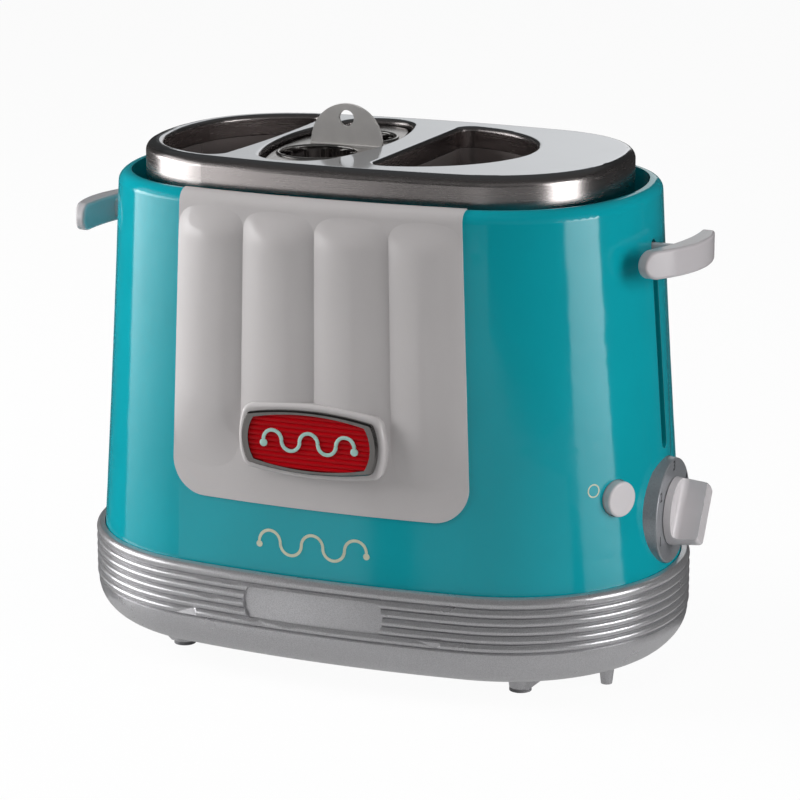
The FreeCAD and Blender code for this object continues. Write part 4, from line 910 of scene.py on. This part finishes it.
@dataclass(frozen=True)
class Lamp:
    """A soft rectangular lamp that lights the toaster but is not mirrored in it."""

    name: str
    azimuth: float                 # degrees; 0 is in front, 90 at the dial end
    height: float                  # degrees above the table
    power: float
    size: tuple[float, float] = (0.9, 0.9)
    distance: float = 1.6


@dataclass(frozen=True)
class Card:
    """A card that only shows in reflections: bright as a soft box, dark as a flag."""

    name: str
    start: float                   # azimuth of its first side, in degrees
    end: float
    bottom: float                  # height over the table, in metres
    top: float
    level: float                   # at its brightest corner
    start_share: float = 1.0       # share of the level that is left at its first side
    end_share: float = 1.0
    bottom_share: float = 1.0
    distance: float = 3.5


@dataclass
class Studio:
    """Camera, lamps, cards and the white surroundings."""

    centre: Vector = field(init=False)     # on the table, below the toaster's middle
    aim: Vector = field(default_factory=lambda: Vector((5.106, 0.0, 108.106)) * MM)
    azimuth: float = 23.05
    elevation: float = 14.415
    distance: float = 1370.15 * MM
    lens: float = 141.95
    sensor: float = 36.0
    lamp_aim: Vector = field(default_factory=lambda: Vector((0.0, 0.0, 0.1)))
    ambient: float = 0.13
    ceiling: float = 2.2           # height of the card overhead
    ceiling_light: float = 0.06
    table: float = -1.5            # height of the card that stands in for the table's reflection
    table_light: float = 0.45
    level_size: float = 7.6        # of both level cards
    floor_size: float = 12.0
    floor_grain: float = 60.0      # waves to the metre
    floor_tones: tuple[float, float] = (0.93, 0.97)
    floor_dim: float = 0.65        # the floor's grey in the light that it throws back
    floor_white: float = 0.95      # share of plain white in the floor; the rest is lit

    LAMPS: ClassVar[tuple[Lamp, ...]] = (
        Lamp("lamp_left", -75.0, 20.0, 30.0),
        Lamp("lamp_right", 85.0, 15.0, 15.0),
        Lamp("lamp_top", 20.0, 70.0, 5.0),
    )
    CARDS: ClassVar[tuple[Card, ...]] = (
        Card("soft_box_left", -94.0, -44.0, -0.45, 0.36, 10.0, end_share=0.45, bottom_share=0.02,
             distance=1.5),
        Card("soft_box_right", 73.5, 102.5, -0.50, 0.36, 10.0, start_share=0.70, bottom_share=0.02,
             distance=1.5),
        Card("soft_edge_left", -43.9, -31.0, -0.39, 0.54, 1.5, end_share=0.05),
        Card("low_left_grey", -43.9, -17.5, -1.5, -0.40, 0.70),
        Card("low_front_flag", -17.4, -11.0, -1.5, -0.40, 0.06),
        Card("low_front_grey", -10.9, 14.0, -1.5, -0.40, 0.42),
        Card("low_right_grey", 14.1, 66.0, -1.5, -0.61, 0.40),
        Card("low_end_flag", 66.1, 103.0, -1.5, -0.61, 0.02),
        Card("front_flag", -30.9, 14.0, -0.39, 0.54, 0.03),
        Card("right_flag", 14.1, 73.0, -0.60, 0.54, 0.03),
        Card("high_front_flag", -43.5, 12.0, 0.55, 2.2, 0.10),
        Card("high_right_flag", 12.1, 66.0, 0.55, 2.2, 0.14),
        Card("high_end_flag", 66.1, 103.0, 0.84, 2.2, 0.12),
        Card("rear_right_flag", 103.1, 146.0, -1.5, 2.2, 0.03),
        Card("rear_flag", 146.1, 189.0, -1.5, 2.2, 0.03),
        Card("rear_sheet", 189.1, 208.5, 0.30, 1.75, 0.95, end_share=0.60),
        Card("rear_low_flag", 189.1, 208.5, -1.5, 0.29, 0.02),
        Card("rear_high_flag", 189.1, 208.5, 1.76, 2.2, 0.03),
        Card("rear_left_flag", 208.6, 236.0, -1.5, 2.2, 0.04),
        Card("left_flag", 236.1, 266.0, -1.5, 2.2, 0.03),
    )

    def __post_init__(self) -> None:
        """Finds the studio's centre."""
        shell = middle("body_shell")
        self.centre = Vector((shell.x, shell.y, 0.0))

    def build(self) -> None:
        """Sets up the whole studio."""
        self._camera()
        for lamp in self.LAMPS:
            self._lamp(lamp)
        for card in self.CARDS:
            self._card(card)
        self._level("ceiling_flag", self.ceiling, self.ceiling_light)
        self._level("table_grey", self.table, self.table_light)
        self._floor()
        self._world()
        bpy.context.scene.view_settings.view_transform = "Standard"

    @staticmethod
    def _way(azimuth: float, elevation: float) -> Vector:
        """Direction from the toaster at an azimuth and a height, both in degrees."""
        a, e = math.radians(azimuth), math.radians(elevation)
        return Vector((math.sin(a) * math.cos(e), -math.cos(a) * math.cos(e), math.sin(e)))

    @staticmethod
    def _stood(name: str, data: Any, place: Vector, back: Vector) -> bpy.types.Object:
        """Stands a camera or a lamp in the studio.

        Args:
            name: Its name.
            data: The camera's or the lamp's own data.
            place: Where it stands.
            back: The direction that it turns its back to.

        Returns:
            The new object.
        """
        piece = bpy.data.objects.new(name, data)
        piece.location = place
        piece.rotation_mode = "QUATERNION"
        piece.rotation_quaternion = (-back).to_track_quat("-Z", "Y")
        bpy.context.scene.collection.objects.link(piece)
        return piece

    def _camera(self) -> None:
        """Places the camera."""
        data = bpy.data.cameras.new("camera")
        data.lens = self.lens
        data.sensor_width = self.sensor
        back = self._way(self.azimuth, self.elevation)
        place = self.centre + self.aim + back * self.distance
        bpy.context.scene.camera = self._stood("camera", data, place, back)

    def _lamp(self, lamp: Lamp) -> None:
        """Places one lamp, facing the toaster.

        Args:
            lamp: The lamp.
        """
        data = bpy.data.lights.new(lamp.name, "AREA")
        data.shape = "RECTANGLE"
        data.size, data.size_y = lamp.size
        data.energy = lamp.power
        way = self._way(lamp.azimuth, lamp.height)
        light = self._stood(lamp.name, data, self.centre + self.lamp_aim + way * lamp.distance, way)
        light.visible_glossy = False

    @staticmethod
    def _plane(name: str, size: float, place: Vector) -> bpy.types.Object:
        """Lays a square sheet.

        Args:
            name: Its name.
            size: Its sides, in metres.
            place: Its centre.

        Returns:
            The sheet.
        """
        Bench.clear()
        bpy.ops.mesh.primitive_plane_add(size=size, location=place)
        piece = bpy.context.object
        piece.name = name
        return piece

    @staticmethod
    def _mirrored(piece: bpy.types.Object, graph: Graph, colour: Any, strength: float) -> None:
        """Gives a card its glow and hides it from all rays but those off shiny surfaces.

        Args:
            piece: The card.
            graph: Its material's node tree.
            colour: Colour of the glow.
            strength: How bright it is.
        """
        glow = graph.node("ShaderNodeEmission", {}, {"Color": colour, "Strength": strength})
        piece.data.materials.append(graph.ended(glow))
        for ray in ("camera", "diffuse", "shadow", "transmission", "volume_scatter"):
            setattr(piece, f"visible_{ray}", False)

    def _card(self, card: Card) -> None:
        """Places one card upright, facing the toaster.

        Args:
            card: The card.
        """
        azimuth = (card.start + card.end) / 2
        width = 2 * card.distance * math.tan(math.radians(card.end - card.start) / 2)
        place = self.centre + self._way(azimuth, 0.0) * card.distance
        place.z = (card.bottom + card.top) / 2
        piece = self._plane(card.name, 1.0, place)
        piece.scale = (width, card.top - card.bottom, 1.0)
        piece.rotation_euler = (math.radians(90), 0.0, math.radians(azimuth))
        graph = Graph(card.name)
        where = graph.place()
        across = graph.spread(graph.part(where, "X"), Span.CARD, card.start_share, card.end_share)
        up = graph.spread(graph.part(where, "Y"), Span.CARD, math.sqrt(card.bottom_share), 1.0)
        shade = graph.mixed(across * up * up, grey(0.0), grey(1.0))
        self._mirrored(piece, graph, shade, card.level)

    def _level(self, name: str, height: float, light: float) -> None:
        """Lays a level card, which only shows in reflections."""
        piece = self._plane(name, self.level_size, self.centre + Vector((0.0, 0.0, height)))
        self._mirrored(piece, Graph(name), grey(1.0), light)

    def _floor(self) -> None:
        """Lays a white floor that keeps a faint share of the toaster's shadow."""
        floor = self._plane("floor", self.floor_size, Vector((0.0, 0.0, 0.0)))
        graph = Graph("floor")
        grain = graph.spread(graph.noise(graph.place(), self.floor_grain, detail=4.0), Span.EVEN)
        seen = self._white_share(graph)
        dull, pale = self.floor_tones
        colour = graph.mixed(seen, grey(self.floor_dim), graph.mixed(grain, grey(dull), grey(pale)))
        lit = graph.node("ShaderNodeBsdfDiffuse", {}, {"Color": colour})
        white = graph.node("ShaderNodeEmission", {}, {"Strength": 1.0})
        inputs = {0: seen * self.floor_white, 1: lit.outputs[0], 2: white.outputs[0]}
        floor.data.materials.append(graph.ended(graph.node("ShaderNodeMixShader", {}, inputs)))
        floor.visible_glossy = False

    @staticmethod
    def _white_share(graph: Graph) -> Value:
        """Finds the rays that see white surroundings.

        Args:
            graph: The node tree that asks.

        Returns:
            1 for rays from the camera, off mirrors and through glass, and 0 for others.
        """
        rays = graph.node("ShaderNodeLightPath", {}, {}).outputs
        share = Value(graph, rays["Is Camera Ray"])
        for name in ("Is Glossy Ray", "Is Transmission Ray"):
            share = share.most(Value(graph, rays[name]))
        return share

    def _world(self) -> None:
        """Lights evenly all round, and is white for the rays that look at it."""
        world = bpy.data.worlds.new("world")
        bpy.context.scene.world = world
        graph = Graph("world", world)
        even, white = (graph.node("ShaderNodeBackground", {}, {"Strength": light, "Color": grey(1.0)})
                       for light in (self.ambient, 1.0))
        inputs = {0: self._white_share(graph), 1: even.outputs[0], 2: white.outputs[0]}
        graph.ended(graph.node("ShaderNodeMixShader", {}, inputs), "ShaderNodeOutputWorld")


# ------------------------------------------------------------------------ main


def main() -> None:
    """Dresses the frame, adds the pieces that the solids leave out, and lights the scene."""
    logging.basicConfig(level=logging.INFO, format="%(message)s")
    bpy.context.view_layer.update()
    palette = Palette()
    palette.dress_frame()
    Recast(palette, "base_tub", "base_silver").build()
    DialPrint(palette).build()
    Trim(palette).build()
    Studio().build()


if __name__ == "__main__":
    main()
